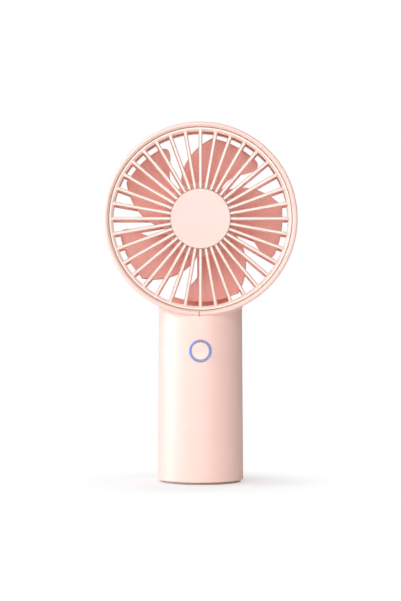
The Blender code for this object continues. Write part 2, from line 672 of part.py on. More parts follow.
def make_rear_grille(head_axis):
    """Ribs, ring and motor seat at the back, blind in front of the handle."""
    plastic = material("peach_rear_grille", PEACH, 0.38)
    section = [
        (REAR_RING_INNER, REAR_RING_BACK),
        (REAR_RING_OUTER - REAR_RING_EDGE, REAR_RING_BACK),
        (REAR_RING_OUTER, REAR_RING_BACK + REAR_RING_EDGE),
        (REAR_RING_OUTER, REAR_RING_FRONT),
        (REAR_RING_INNER, REAR_RING_FRONT),
    ]
    grille = finish(turned(section, HEAD_FACETS), "rear_grille", plastic, head_axis)
    rib_start = REAR_HUB_RADIUS - REAR_RIB_ROOT
    rib_end = (REAR_RING_INNER + REAR_RING_OUTER) / 2
    half = REAR_RIB_WIDTH / 2
    ribs = block((-half, rib_start, REAR_RIB_BACK), (half, rib_end, REAR_RIB_FRONT))
    repeat_round(ribs, evenly(RIB_COUNT))
    combine(grille, guide(ribs, "rear_ribs", head_axis), "UNION")
    hub = cylinder(REAR_HUB_RADIUS, REAR_HUB_BACK, REAR_HUB_FRONT, DISC_FACETS)
    combine(grille, guide(hub, "rear_hub", head_axis), "UNION")

    inner = REAR_RING_INNER - TONGUE_HEIGHT + FIT_GAP
    outer = rib_end - 2 * JOIN
    low = -90 - TONGUE_HALF_ANGLE
    high = -90 + TONGUE_HALF_ANGLE
    outline = arc((0, 0), outer, low, high, 12) + arc((0, 0), inner, high, low, 12)
    tongue = slab(outline, REAR_RIB_BACK + 2 * JOIN, REAR_RIB_FRONT - 2 * JOIN)
    combine(grille, guide(tongue, "rear_tongue", head_axis), "UNION")

    channel_inside = MOTOR_LEAD_RADIUS + FIT_GAP
    channel_front = REAR_RIB_FRONT + CHANNEL_DEPTH
    channel_outside = channel_inside + CHANNEL_WALL
    channel = block(
        (-channel_outside, -inner - CHANNEL_BITE, REAR_RIB_FRONT - CHANNEL_SINK),
        (channel_outside, -REAR_HUB_RADIUS + CHANNEL_ROOT, channel_front),
    )
    combine(grille, guide(channel, "lead_channel", head_axis), "UNION")
    groove = block(
        (-channel_inside, -HEAD_RADIUS, REAR_RIB_FRONT + JOIN),
        (channel_inside, -REAR_HUB_RADIUS + REAR_HUB_THICKNESS, channel_front + CHANNEL_DEPTH),
    )
    combine(grille, guide(groove, "lead_groove", head_axis), "DIFFERENCE")

    boss_front = -MOTOR_PLATE_BACK - FIT_GAP
    boss_back = REAR_HUB_FRONT - BOSS_ROOT
    for number, angle in enumerate(evenly(MOTOR_SCREW_COUNT)):
        place = (*on_circle(MOTOR_SCREW_CIRCLE, angle), 0)
        boss = blind_boss(MOTOR_BOSS_RADIUS, PILOT_RADIUS, boss_front, boss_back, boss_back + BOSS_FLOOR)
        combine(grille, guide(boss, f"motor_boss_{number + 1}", head_axis, place), "UNION")
    socket = cylinder(CAP_STEM_RADIUS + FIT_GAP, -2 * HEAD_BACK, 0.0, SMALL_FACETS)
    combine(grille, guide(socket, "rear_cap_socket", head_axis), "DIFFERENCE")


def make_rear_hub_cap(head_axis):
    """The round cover over the middle of the rear grille, on a stem."""
    face = REAR_HUB_BACK - FIT_GAP
    back = face - REAR_CAP_THICKNESS
    profile = [
        (0, back),
        (REAR_CAP_RADIUS - REAR_CAP_EDGE, back),
        (REAR_CAP_RADIUS, back + REAR_CAP_EDGE),
        (REAR_CAP_RADIUS, face),
        (CAP_STEM_RADIUS, face),
        (CAP_STEM_RADIUS, face + CAP_STEM_LENGTH),
        (0, face + CAP_STEM_LENGTH),
    ]
    cap = turned(profile, DISC_FACETS, closed=False)
    finish(cap, "rear_hub_cap", material("peach_rear_cap", PEACH, 0.35), head_axis)


# ---------------------------------------------------------------- impeller
def smooth_step(value):
    value = min(max(value, 0.0), 1.0)
    return value * value * (3 - 2 * value)


def blade_edges(span):
    """Angles of the trailing and the leading edge at a share of the span, in degrees."""
    root, by_span, by_square = TRAILING_SWEEP
    trailing = root + by_span * span + by_square * span * span
    root, added = LEADING_SWEEP
    start, length = LEADING_RISE
    leading = root + added * smooth_step((span - start) / length)
    share, rounding = TIP_ROUND
    past = max(0.0, (span - 1 + share) / share)
    leading -= rounding * (1 - math.sqrt(max(0.0, 1 - past * past)))
    return trailing, leading


def blade_point(span, across):
    """A point of a blade's middle surface, from its trailing edge (0) to its leading edge (1)."""
    root = HUB_RADIUS - HUB_WALL / 2
    radius = root + (BLADE_TIP - root) * span
    trailing, leading = blade_edges(span)
    angle = trailing + (leading - trailing) * across
    behind = LEADING_ROOT + (LEADING_TIP - LEADING_ROOT) * span
    ahead = TRAILING_ROOT + (TRAILING_TIP - TRAILING_ROOT) * span
    camber = BLADE_CAMBER * math.sin(math.pi * across)
    return (*on_circle(radius, angle), ahead + (behind - ahead) * across - camber)


def make_impeller(rotor_axis):
    """A cup-shaped hub with five forward-swept blades and a collar round the motor's rotor."""
    plastic = material("coral_impeller", CORAL, 0.38)
    edge = arc((HUB_RADIUS - HUB_EDGE_RADIUS, HUB_FRONT - HUB_EDGE_RADIUS), HUB_EDGE_RADIUS, 0, 90, 4)
    collar_back = HUB_INNER_FACE - COLLAR_LENGTH
    bite = HUB_BOSS_BACK + SHAFT_BITE + FIT_GAP
    profile = [(0, bite), (BUSH_BORE, bite), (BUSH_BORE, HUB_BOSS_BACK)]
    profile += [(HUB_BOSS_RADIUS, HUB_BOSS_BACK), (HUB_BOSS_RADIUS, HUB_INNER_FACE)]
    profile += [(COLLAR_BORE, HUB_INNER_FACE), (COLLAR_BORE, collar_back)]
    profile += [(COLLAR_BORE + COLLAR_WALL, collar_back), (COLLAR_BORE + COLLAR_WALL, HUB_INNER_FACE)]
    profile += [(HUB_RADIUS - HUB_WALL, HUB_INNER_FACE), (HUB_RADIUS - HUB_WALL, HUB_BACK)]
    profile += [(HUB_RADIUS, HUB_BACK)] + edge + [(0, HUB_FRONT)]
    hub = turned(profile, DISC_FACETS, closed=False)
    impeller = finish(hub, "impeller", plastic, rotor_axis)

    blades = bmesh.new()
    bmesh.ops.create_grid(blades, x_segments=BLADE_ROWS, y_segments=BLADE_COLUMNS, size=0.5)
    for corner in blades.verts:
        span = math.sin(math.pi / 2 * (corner.co.x + 0.5))
        corner.co = blade_point(span, corner.co.y + 0.5)
    bmesh.ops.recalc_face_normals(blades, faces=blades.faces)
    bmesh.ops.solidify(blades, geom=blades.faces[:], thickness=BLADE_THICKNESS)
    repeat_round(blades, evenly(BLADE_COUNT))
    combine(impeller, guide(blades, "blades", rotor_axis), "UNION")


# ---------------------------------------------------------------- motor
def make_rotor(rotor_axis):
    """The shaft, the steel bell, the magnet inside it and the clip that holds the shaft."""
    steel = material("ground_steel", "C9CBCD", 0.22, 1.0)
    neck = SHAFT_RADIUS - CLIP_GROOVE_DEPTH
    profile = [
        (0, SHAFT_BACK),
        (SHAFT_RADIUS, SHAFT_BACK),
        (SHAFT_RADIUS, CLIP_BACK - FIT_GAP / 3),
        (neck, CLIP_BACK - FIT_GAP / 3),
        (neck, CLIP_FRONT + FIT_GAP / 3),
        (SHAFT_RADIUS, CLIP_FRONT + FIT_GAP / 3),
        (SHAFT_RADIUS, SHAFT_FRONT),
        (0, SHAFT_FRONT),
    ]
    finish(turned(profile, SMALL_FACETS, closed=False), "motor_shaft", steel, rotor_axis)

    bell = [
        (BUSH_BORE, BELL_INNER_FACE),
        (BELL_BORE, BELL_INNER_FACE),
        (BELL_BORE, BELL_BACK),
        (BELL_RADIUS, BELL_BACK),
        (BELL_RADIUS, BELL_FRONT),
        (BUSH_BORE, BELL_FRONT),
    ]
    zinc = material("zinc_plated_steel", "B9BDC2", 0.34, 1.0)
    finish(turned(bell, DISC_FACETS), "rotor_bell", zinc, rotor_axis)
    magnet = ring(MAGNET_BORE, MAGNET_RADIUS, STATOR_REAR - BELL_OVERHANG / 2, STATOR_FRONT, DISC_FACETS)
    finish(magnet, "magnet_ring", material("ferrite", "3A3A3E", 0.6), rotor_axis)

    inner = neck + FIT_GAP / 2
    mouth = math.degrees(math.asin(CLIP_MOUTH / 2 / inner))
    outline = arc((0, 0), inner + CLIP_WIDTH, -90 + mouth, 270 - mouth, 20)
    outline += arc((0, 0), inner, 270 - mouth, -90 + mouth, 20)
    clip = slab(outline, CLIP_BACK, CLIP_FRONT)
    finish(clip, "shaft_clip", material("spring_steel", "8C8F94", 0.3, 1.0), rotor_axis)


def make_stator(head_axis):
    """The still half of the motor: plate, bearing tube, bushes, toothed core, coils and board."""
    brass = material("turned_brass", "C9A25A", 0.28, 1.0)
    flange = TUBE_RADIUS + TUBE_FLANGE
    flange_front = TUBE_BACK + TUBE_FLANGE_THICKNESS
    tube = [
        (TUBE_BORE, TUBE_BACK),
        (flange, TUBE_BACK),
        (flange, flange_front),
        (TUBE_RADIUS, flange_front),
        (TUBE_RADIUS, TUBE_FRONT),
        (TUBE_BORE, TUBE_FRONT),
    ]
    finish(turned(tube, SMALL_FACETS), "bearing_tube", brass, head_axis)
    bronze = material("sintered_bronze", "A77B4A", 0.55, 1.0)
    rear_bush = ring(BUSH_BORE, BUSH_RADIUS, REAR_BUSH_BACK, REAR_BUSH_BACK + BUSH_LENGTH, SMALL_FACETS)
    finish(rear_bush, "rear_bush", bronze, head_axis)
    bush_back = FRONT_BUSH_FRONT - BUSH_LENGTH
    front_bush = ring(BUSH_BORE, BUSH_RADIUS, bush_back, FRONT_BUSH_FRONT, SMALL_FACETS)
    finish(front_bush, "front_bush", bronze, head_axis)

    dark = material("black_nylon", "26262A", 0.5)
    plate = ring(STATOR_BORE, MOTOR_PLATE_RADIUS, -MOTOR_PLATE_BACK, MOTOR_PLATE_FRONT, DISC_FACETS)
    plate = finish(plate, "motor_plate", dark, head_axis)
    for number, angle in enumerate(evenly(MOTOR_SCREW_COUNT)):
        hole = cylinder(PILOT_RADIUS, -2 * MOTOR_PLATE_BACK, 0.0, TINY_FACETS)
        place = (*on_circle(MOTOR_SCREW_CIRCLE, angle), 0)
        combine(plate, guide(hole, f"plate_hole_{number + 1}", head_axis, place), "DIFFERENCE")
        post_place = (*on_circle(STATOR_BORE + MOTOR_BOARD_WIDTH / 2, angle + 60), 0)
        post_low = MOTOR_PLATE_FRONT - PLATE_POST_ROOT
        post = cylinder(PLATE_POST_RADIUS, post_low, MOTOR_BOARD_BACK - FIT_GAP, TINY_FACETS)
        combine(plate, guide(post, f"plate_post_{number + 1}", head_axis, post_place), "UNION")

    board_inner = STATOR_BORE + FIT_GAP
    board_outer = board_inner + MOTOR_BOARD_WIDTH
    board = ring(board_inner, board_outer, MOTOR_BOARD_BACK, MOTOR_BOARD_FRONT, SMALL_FACETS)
    finish(board, "motor_board", material("green_laminate", "1F5B43", 0.45), head_axis)

    laminate = material("electrical_steel", "6F7276", 0.45, 1.0)
    core_outer = STATOR_BORE + STATOR_CORE_WALL
    core = ring(STATOR_BORE, core_outer, STATOR_REAR, STATOR_FRONT, DISC_FACETS)
    core = finish(core, "stator_core", laminate, head_axis)
    tooth_low = (-TOOTH_WIDTH / 2, core_outer - TOOTH_ROOT, STATOR_REAR)
    tooth = block(tooth_low, (TOOTH_WIDTH / 2, STATOR_RADIUS - TOOTH_HEAD_THICKNESS / 2, STATOR_FRONT))
    repeat_round(tooth, evenly(TOOTH_COUNT))
    combine(core, guide(tooth, "teeth", head_axis), "UNION")
    half = math.degrees(TOOTH_HEAD_WIDTH / 2 / STATOR_RADIUS)
    outline = arc((0, 0), STATOR_RADIUS, 90 - half, 90 + half, 8)
    outline += arc((0, 0), STATOR_RADIUS - TOOTH_HEAD_THICKNESS, 90 + half, 90 - half, 8)
    heads = slab(outline, STATOR_REAR, STATOR_FRONT)
    repeat_round(heads, evenly(TOOTH_COUNT))
    combine(core, guide(heads, "tooth_heads", head_axis), "UNION")

    copper = material("enamelled_copper", "B4622E", 0.35, 1.0)
    coil_inner = core_outer + FIT_GAP
    open_half = TOOTH_WIDTH / 2 + FIT_GAP
    coil_half = min(open_half + COIL_THICKNESS, coil_inner * math.sin(math.pi / TOOTH_COUNT) - FIT_GAP / 2)
    head_inner = STATOR_RADIUS - TOOTH_HEAD_THICKNESS
    coil_outer = math.sqrt(head_inner ** 2 - coil_half ** 2) - FIT_GAP
    for number, angle in enumerate(evenly(TOOTH_COUNT)):
        low = STATOR_REAR - FIT_GAP - COIL_THICKNESS
        high = STATOR_FRONT + FIT_GAP + COIL_THICKNESS
        coil = block((-coil_half, coil_inner, low), (coil_half, coil_outer, high))
        bmesh.ops.transform(coil, matrix=turn_clockwise(angle), verts=coil.verts)
        coil = finish(coil, f"winding_{number + 1}", copper, head_axis)
        core_gap = block(
            (-open_half, 0.0, STATOR_REAR - FIT_GAP), (open_half, 2 * STATOR_RADIUS, STATOR_FRONT + FIT_GAP)
        )
        bmesh.ops.transform(core_gap, matrix=turn_clockwise(angle), verts=core_gap.verts)
        combine(coil, guide(core_gap, f"winding_bore_{number + 1}", head_axis), "DIFFERENCE")

    for number, angle in enumerate(evenly(MOTOR_SCREW_COUNT)):
        place = Vector((*on_circle(MOTOR_SCREW_CIRCLE, angle), MOTOR_PLATE_FRONT + FIT_GAP))
        make_screw(f"motor_screw_{number + 1}", place, head_axis)


# ---------------------------------------------------------------- screws
def make_screw(name, seat, parent=None, turn=None):
    """A pan-head screw whose head rests at the seat and whose shank runs towards local -Z."""
    steel = material("zinc_screw", "A9ADB2", 0.32, 1.0)
    profile = [
        (0, -SCREW_LENGTH),
        (SCREW_RADIUS * 0.4, -SCREW_LENGTH),
        (SCREW_RADIUS, -SCREW_LENGTH + SCREW_RADIUS),
        (SCREW_RADIUS, 0),
        (SCREW_HEAD_RADIUS, 0),
        (SCREW_HEAD_RADIUS, SCREW_HEAD_THICKNESS * 0.6),
        (SCREW_HEAD_RADIUS * 0.75, SCREW_HEAD_THICKNESS),
        (0, SCREW_HEAD_THICKNESS),
    ]
    screw = finish(turned(profile, TINY_FACETS, closed=False), name, steel, parent, seat)
    if turn:
        screw.rotation_euler = turn


# ---------------------------------------------------------------- power button
def make_button(button_axis, switch_axis):
    """The round push button in its light ring, and the switch behind it."""
    crown = BUTTON_CROWN - HANDLE_WALL / 2
    surface_profile = [(0, 0), (handle_radius(0.0), 0), (HANDLE_RADIUS, HANDLE_LENGTH), (0, HANDLE_LENGTH)]
    surface = guide(turned(surface_profile, HANDLE_FACETS * 2, closed=False), "handle_surface")
    recessed = [(radius - BUTTON_RECESS if radius else 0, height) for radius, height in surface_profile]
    recessed_surface = guide(turned(recessed, HANDLE_FACETS * 2, closed=False), "button_surface")

    light = [
        (LIGHT_BORE, crown),
        (LIGHT_RADIUS, crown),
        (LIGHT_RADIUS, LIGHT_COLLAR_FRONT),
        (LIGHT_COLLAR_RADIUS, LIGHT_COLLAR_FRONT),
        (LIGHT_COLLAR_RADIUS, LIGHT_BACK),
        (LIGHT_BORE + BUTTON_FLANGE, LIGHT_BACK),
        (LIGHT_BORE + BUTTON_FLANGE, LIGHT_STEP),
        (LIGHT_BORE, LIGHT_STEP),
    ]
    glow = material("blue_light_guide", "7F9CF5", 0.25)
    light_ring = finish(turned(light, SMALL_FACETS), "light_ring", glow, bpy.data.objects["button_home"])
    combine(light_ring, surface, "INTERSECT")

    button = [
        (0, crown),
        (BUTTON_RADIUS, crown),
        (BUTTON_RADIUS, BUTTON_FLANGE_FRONT),
        (BUTTON_RADIUS + BUTTON_FLANGE, BUTTON_FLANGE_FRONT),
        (BUTTON_RADIUS + BUTTON_FLANGE, BUTTON_BACK),
        (0, BUTTON_BACK),
    ]
    plastic = material("peach_button", PEACH, 0.32)
    power_button = finish(turned(button, SMALL_FACETS, closed=False), "power_button", plastic, button_axis)
    combine(power_button, recessed_surface, "INTERSECT")

    half = SWITCH_SIZE / 2
    body = block((-half, SWITCH_FRONT, BUTTON_HEIGHT - half), (half, SWITCH_BACK, BUTTON_HEIGHT + half))
    switch_body = finish(body, "switch_body", material("black_switch", "222226", 0.45))
    well_back = min(PLUNGER_FRONT + PLUNGER_LENGTH + BUTTON_TRAVEL, SWITCH_BACK - 2 * FIT_GAP) + FIT_GAP
    well = cylinder(PLUNGER_RADIUS + FIT_GAP, BUTTON_CROWN, well_back, SMALL_FACETS)
    combine(switch_body, guide(well, "switch_well", bpy.data.objects["button_home"]), "DIFFERENCE")
    plunger = cylinder(PLUNGER_RADIUS, PLUNGER_FRONT, PLUNGER_FRONT + PLUNGER_LENGTH, SMALL_FACETS)
    finish(plunger, "switch_plunger", material("switch_plunger", "E8E3D8", 0.45), switch_axis)


# ---------------------------------------------------------------- main board
def make_main_board():
    """The circuit board behind the button, with its lights and largest components."""
    half = BOARD_WIDTH / 2
    laminate = material("green_laminate", "1F5B43", 0.45)
    board = block((-half, BOARD_FRONT, BOARD_LOW), (half, BOARD_BACK, BOARD_TOP))
    board = finish(board, "main_board", laminate)
    face_out = (math.radians(90), 0, 0)
    for number, side in enumerate((-1, 1)):
        x = side * BOARD_SCREW_SPREAD
        level = (CRADLE_TOP_LOW + CRADLE_HIGH) / 2
        hole = cylinder(PILOT_RADIUS, -HANDLE_RADIUS, HANDLE_RADIUS, TINY_FACETS)
        hole = guide(hole, f"board_hole_{number + 1}", None, (x, 0, level))
        hole.rotation_euler = face_out
        combine(board, hole, "DIFFERENCE")
        make_screw(f"board_screw_{number + 1}", Vector((x, BOARD_FRONT - FIT_GAP, level)), None, face_out)

    white = material("led_body", "E9E6D4", 0.3)
    middle = (LIGHT_BORE + BUTTON_FLANGE + LIGHT_COLLAR_RADIUS) / 2
    for number, angle in enumerate(evenly(LED_COUNT, 45.0)):
        x, up = on_circle(middle, angle)
        back = BOARD_FRONT - FIT_GAP
        low = (x - LED_LENGTH / 2, back - LED_THICKNESS, BUTTON_HEIGHT + up - LED_WIDTH / 2)
        high = (x + LED_LENGTH / 2, back, BUTTON_HEIGHT + up + LED_WIDTH / 2)
        finish(block(low, high), f"led_{number + 1}", white)

    chip_level = BUTTON_HEIGHT - CHIP_BELOW_BUTTON
    half = CHIP_SIZE / 2
    low = (-half, BOARD_FRONT - FIT_GAP - CHIP_THICKNESS, chip_level - half)
    high = (half, BOARD_FRONT - FIT_GAP, chip_level + half)
    finish(block(low, high), "control_chip", material("black_epoxy", "1C1C1F", 0.4))
    coil_place = (0, 0, BUTTON_HEIGHT - INDUCTOR_BELOW_BUTTON)
    front = -(BOARD_FRONT - FIT_GAP)
    coil = cylinder(INDUCTOR_RADIUS, front, front + INDUCTOR_THICKNESS, SMALL_FACETS)
    inductor = finish(coil, "boost_inductor", material("dark_ferrite", "35353A", 0.55), None, coil_place)
    inductor.rotation_euler = face_out


# ---------------------------------------------------------------- battery
def make_battery():
    """Two round cells side by side, their welded strips and the cradle that holds them."""
    wrap = material("cell_wrap", "3E7CA8", 0.4)
    nickel = material("nickel_strip", "B8B6AE", 0.28, 1.0)
    for name, side in (("cell_left", -1), ("cell_right", 1)):
        nub_low = CELL_HIGH - CELL_NUB_HEIGHT
        profile = [
            (0, CELL_LOW),
            (CELL_RADIUS - CELL_EDGE, CELL_LOW),
            (CELL_RADIUS, CELL_LOW + CELL_EDGE),
            (CELL_RADIUS, nub_low - CELL_EDGE),
            (CELL_RADIUS - CELL_EDGE, nub_low),
            (CELL_NUB_RADIUS, nub_low),
            (CELL_NUB_RADIUS, CELL_HIGH),
            (0, CELL_HIGH),
        ]
        cell = turned(profile, SMALL_FACETS, closed=False)
        finish(cell, name, wrap, None, (side * CELL_SPACING / 2, 0, 0))
        inner = side * (CELL_SPACING / 2 - TAB_WIDTH / 2)
        outer = side * (CELL_SPACING / 2 + TAB_WIDTH / 2)
        low = (min(inner, outer), -TAB_FRONT, TAB_LOW)
        high = (max(inner, outer), STRIP_WIDTH / 2, TAB_LOW + STRIP_THICKNESS)
        finish(block(low, high), name.replace("cell", "tab"), nickel)
    reach = CELL_SPACING / 2 + STRIP_WIDTH / 2
    low = (-reach, -STRIP_WIDTH / 2, LINK_LOW)
    finish(block(low, (reach, STRIP_WIDTH / 2, LINK_LOW + STRIP_THICKNESS)), "cell_link", nickel)

    white = material("natural_nylon", "E6E3DA", 0.5)
    half = CRADLE_HALF_WIDTH
    front = -CRADLE_WALL_FRONT
    inside_back = CRADLE_WALL_FRONT + CRADLE_OVERLAP
    low_plate = block((-half, front, CRADLE_LOW), (half, inside_back, CRADLE_LOW + CRADLE_PLATE))
    cradle = finish(low_plate, "battery_cradle", white)
    top_plate = block((-half, front, CRADLE_TOP_LOW), (half, inside_back, CRADLE_HIGH))
    back_half = CRADLE_BACK_WIDTH / 2
    wall_low = (-back_half, CRADLE_WALL_FRONT, CRADLE_LOW + 2 * JOIN)
    back_wall = block(wall_low, (back_half, CRADLE_WALL_BACK, CRADLE_HIGH - 2 * JOIN))
    combine(cradle, guide(back_wall, "cradle_wall"), "UNION")
    combine(cradle, guide(top_plate, "cradle_top"), "UNION")
    half_post = CRADLE_POST_WIDTH / 2
    for number, side in enumerate((-1, 1)):
        x = side * BOARD_SCREW_SPREAD
        low = (x - half_post, CRADLE_POST_FRONT, CRADLE_TOP_LOW + JOIN)
        high = (x + half_post, front + CRADLE_POST_ROOT, CRADLE_HIGH - JOIN)
        combine(cradle, guide(block(low, high), f"cradle_post_{number + 1}"), "UNION")
    for number, side in enumerate((-1, 1)):
        level = (CRADLE_TOP_LOW + CRADLE_HIGH) / 2
        deep = BOARD_FRONT + SCREW_LENGTH
        pilot = cylinder(PILOT_RADIUS, -deep, HANDLE_RADIUS, TINY_FACETS)
        pilot = guide(pilot, f"cradle_pilot_{number + 1}", None, (side * BOARD_SCREW_SPREAD, 0, level))
        pilot.rotation_euler = (math.radians(90), 0, 0)
        combine(cradle, pilot, "DIFFERENCE")


# ---------------------------------------------------------------- foot
def make_foot():
    """The cap that closes the handle, its three screws and the soft pad that hides them."""
    profile = [
        (0, POCKET_TOP),
        (PAD_RADIUS + FIT_GAP, POCKET_TOP),
        (PAD_RADIUS + FIT_GAP, PAD_PROUD),
        (FLANGE_RADIUS, PAD_PROUD),
        (FLANGE_RADIUS, FLANGE_TOP),
        (PLUG_RADIUS, FLANGE_TOP),
        (PLUG_RADIUS, PLUG_TOP),
        (0, PLUG_TOP),
    ]
    plastic = material("peach_foot", PEACH, 0.38)
    cap = finish(turned(profile, HANDLE_FACETS, closed=False), "foot_cap", plastic)
    head_seat = POCKET_TOP + SCREW_HEAD_THICKNESS + FIT_GAP
    sink_radius = SCREW_HEAD_RADIUS + FIT_GAP
    sink_end = head_seat + FIT_GAP
    for number, place in enumerate(foot_screw_places()):
        sink_profile = [
            (0, -PLUG_TOP),
            (sink_radius, -PLUG_TOP),
            (sink_radius, sink_end),
            (PILOT_RADIUS, sink_end),
            (PILOT_RADIUS, 2 * PLUG_TOP),
            (0, 2 * PLUG_TOP),
        ]
        sink = turned(sink_profile, TINY_FACETS, closed=False)
        combine(cap, guide(sink, f"foot_sink_{number + 1}", None, place), "DIFFERENCE")
        seat = Vector((place[0], place[1], head_seat))
        make_screw(f"foot_screw_{number + 1}", seat, None, (math.radians(180), 0, 0))
    pad = cylinder(PAD_RADIUS, 0.0, PAD_THICKNESS, HANDLE_FACETS)
    finish(pad, "foot_pad", material("soft_pad", "D9B3A8", 0.75))


# ---------------------------------------------------------------- charging socket
def make_socket(socket_axis):
    """The charging socket low in the back of the handle, and its small board."""
    steel = material("socket_steel", "BFC1C4", 0.25, 1.0)
    outside = slab(slot_outline(SOCKET_WIDTH, SOCKET_HEIGHT), SOCKET_BACK, SOCKET_MOUTH)
    shell = finish(outside, "usb_socket", steel, socket_axis)
    inside = slot_outline(SOCKET_WIDTH - 2 * SOCKET_WALL, SOCKET_HEIGHT - 2 * SOCKET_WALL)
    floor = SOCKET_MOUTH - TONGUE_LENGTH - SOCKET_WALL
    inside = slab(inside, floor, SOCKET_MOUTH + SOCKET_WALL)
    combine(shell, guide(inside, "socket_inside", socket_axis), "DIFFERENCE")
    half = TONGUE_WIDTH / 2
    low = (-half, -TONGUE_THICKNESS / 2, floor - SOCKET_WALL)
    tongue = block(low, (half, TONGUE_THICKNESS / 2, floor + TONGUE_LENGTH))
    combine(shell, guide(tongue, "socket_tongue", socket_axis), "UNION")
    half = USB_BOARD_WIDTH / 2
    low = (-half, USB_BOARD_FRONT, USB_BOARD_LOW)
    high = (half, USB_BOARD_BACK, USB_BOARD_LOW + USB_BOARD_HEIGHT)
    finish(block(low, high), "usb_board", material("green_laminate", "1F5B43", 0.45))


# ---------------------------------------------------------------- wires
def make_lead(name, points, radius, colour):
    """A round wire along a smooth curve through the given points."""
    curve = bpy.data.curves.new(name, "CURVE")
    curve.dimensions = "3D"
    route = smooth_route([Vector(point) for point in points])
    spline = curve.splines.new("POLY")
    spline.points.add(len(route) - 1)
    for target, place in zip(spline.points, route):
        target.co = (*place, 1.0)
    curve.bevel_depth = radius
    curve.bevel_resolution = 2
    curve.use_fill_caps = True
    curve.materials.append(material(name, colour, 0.45))
    made = bpy.data.objects.new(name, curve)
    bpy.context.scene.collection.objects.link(made)


def smooth_route(points, steps=3):
    """A Catmull-Rom curve through the points."""
    padded = [2 * points[0] - points[1]] + points + [2 * points[-1] - points[-2]]
    route = [points[0]]
    for before, start, end, after in zip(padded, padded[1:], padded[2:], padded[3:]):
        for step in range(1, steps + 1):
            t = step / steps
            part = 2 * start + (end - before) * t + (2 * before - 5 * start + 4 * end - after) * t * t
            part += (3 * start - before - 3 * end + after) * t * t * t
            route.append(part / 2)
    return route


def make_leads():
    """Motor lead, battery leads and charging leads, all inside the fan."""
    behind = -LEAD_PLANE
    hub_edge = HEAD_HEIGHT - REAR_HUB_RADIUS
    leaving = -(MOTOR_BOARD_BACK + MOTOR_BOARD_FRONT) / 2
    board_edge = HEAD_HEIGHT - STATOR_BORE - FIT_GAP - MOTOR_BOARD_WIDTH
    past_plate = HEAD_HEIGHT - MOTOR_PLATE_RADIUS - 0.0026
    room_top = HANDLE_LENGTH - ROOF_WALL
    motor_route = [
        (0, leaving, board_edge - FIT_GAP),
        (0, leaving + 0.0002, board_edge - 0.0022),
        (0, leaving + 0.0014, past_plate + 0.0006),
        (0, (leaving + behind) / 2, past_plate - 0.0004),
        (0, behind - 0.0012, past_plate - 0.0024),
        (0, behind, past_plate - 0.0070),
        (0, behind, (hub_edge + HANDLE_LENGTH) / 2),
        (0, behind, HANDLE_LENGTH + 0.0060),
        (0, behind, room_top),
        (0, behind - 0.0020, room_top - 0.0050),
        (0.0010, behind / 2, room_top - 0.0075),
        (0.0030, BOARD_BACK / 2, room_top - 0.0080),
        (0.0040, BOARD_BACK + 2 * FIT_GAP, room_top - 0.0080),
    ]
    make_lead("motor_lead", motor_route, MOTOR_LEAD_RADIUS, "D8D3CB")
    tab_end = -TAB_FRONT + MOTOR_LEAD_RADIUS
    lead_end = BOARD_BACK + FIT_GAP + POWER_LEAD_RADIUS / 2
    for name, side, colour in (("battery_lead_black", -1, "1D1D20"), ("battery_lead_red", 1, "B3261E")):
        x = side * CELL_SPACING / 2
        route = [
            (x, tab_end, TAB_LOW - FIT_GAP),
            (x, tab_end - 0.0001, TAB_LOW - 0.0025),
            (x, tab_end - 0.0005, TAB_LOW - 0.0050),
            (x * 0.9, (tab_end + lead_end) / 2 - 0.0002, TAB_LOW - 0.0075),
            (x * 0.8, lead_end, TAB_LOW - 0.0090),
        ]
        make_lead(name, route, POWER_LEAD_RADIUS, colour)
    board_edge = USB_BOARD_WIDTH / 2 + FIT_GAP
    middle = (USB_BOARD_FRONT + USB_BOARD_BACK) / 2
    wall = handle_radius(0.0) - HANDLE_WALL
    outside = (CELL_SPACING / 2 + CELL_RADIUS + wall) / 2
    level = USB_BOARD_LOW + USB_BOARD_HEIGHT - 0.0030
    for name, side, colour in (("charge_lead_black", -1, "1D1D20"), ("charge_lead_red", 1, "B3261E")):
        route = [
            (side * board_edge, middle, level),
            (side * (board_edge + 0.0030), middle, level + 0.0010),
            (side * outside * 0.82, outside * 0.58, level + 0.0045),
            (side * outside, outside * 0.10, level + 0.0085),
            (side * outside * 0.90, -outside * 0.44, level + 0.0130),
            (side * (BOARD_WIDTH / 2 - 0.0010), BOARD_BACK * 0.84, level + 0.0180),
            (side * (BOARD_WIDTH / 2 - 0.0030), lead_end, level + 0.0205),
        ]
        make_lead(name, route, POWER_LEAD_RADIUS, colour)


# ---------------------------------------------------------------- assembly
def main():
    clear_scene()
    forward = (math.radians(90), 0, 0)
    inward = (math.radians(-90), 0, 0)
    head_axis = empty("head_axis", (0, 0, HEAD_HEIGHT), forward)
    rotor_axis = empty("rotor_axis", (0, 0, HEAD_HEIGHT), forward)
    button_axis = empty("button_axis", (0, 0, BUTTON_HEIGHT), inward)
    empty("button_home", (0, 0, BUTTON_HEIGHT), inward)
    switch_axis = empty("switch_axis", (0, 0, BUTTON_HEIGHT), inward)
    socket_axis = empty("socket_axis", (0, 0, SOCKET_LEVEL), inward)
    make_main_body(head_axis)
    make_front_grille(head_axis)
    make_front_hub_cap(head_axis)
    make_rear_grille(head_axis)
    make_rear_hub_cap(head_axis)
    make_impeller(rotor_axis)
    make_rotor(rotor_axis)
    make_stator(head_axis)
    make_button(button_axis, switch_axis)
    make_main_board()
    make_battery()
    make_foot()
    make_socket(socket_axis)
    make_leads()
    bpy.context.view_layer.update()


main()
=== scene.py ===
"""Looks of a handheld electric fan, laid out as a Blender add-on and run as a script.

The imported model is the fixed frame. Each piece made here stands for one of its nodes, in the same
place and at the same size, and every other node is given its finish. Metres, +Z up, and the front of
the fan faces -Y. Pieces of the head are shaped about the impeller's axis, in a frame whose +Z points
forward and whose +Y points up. Angles round the head run clockwise from the top, seen from the front.
"""

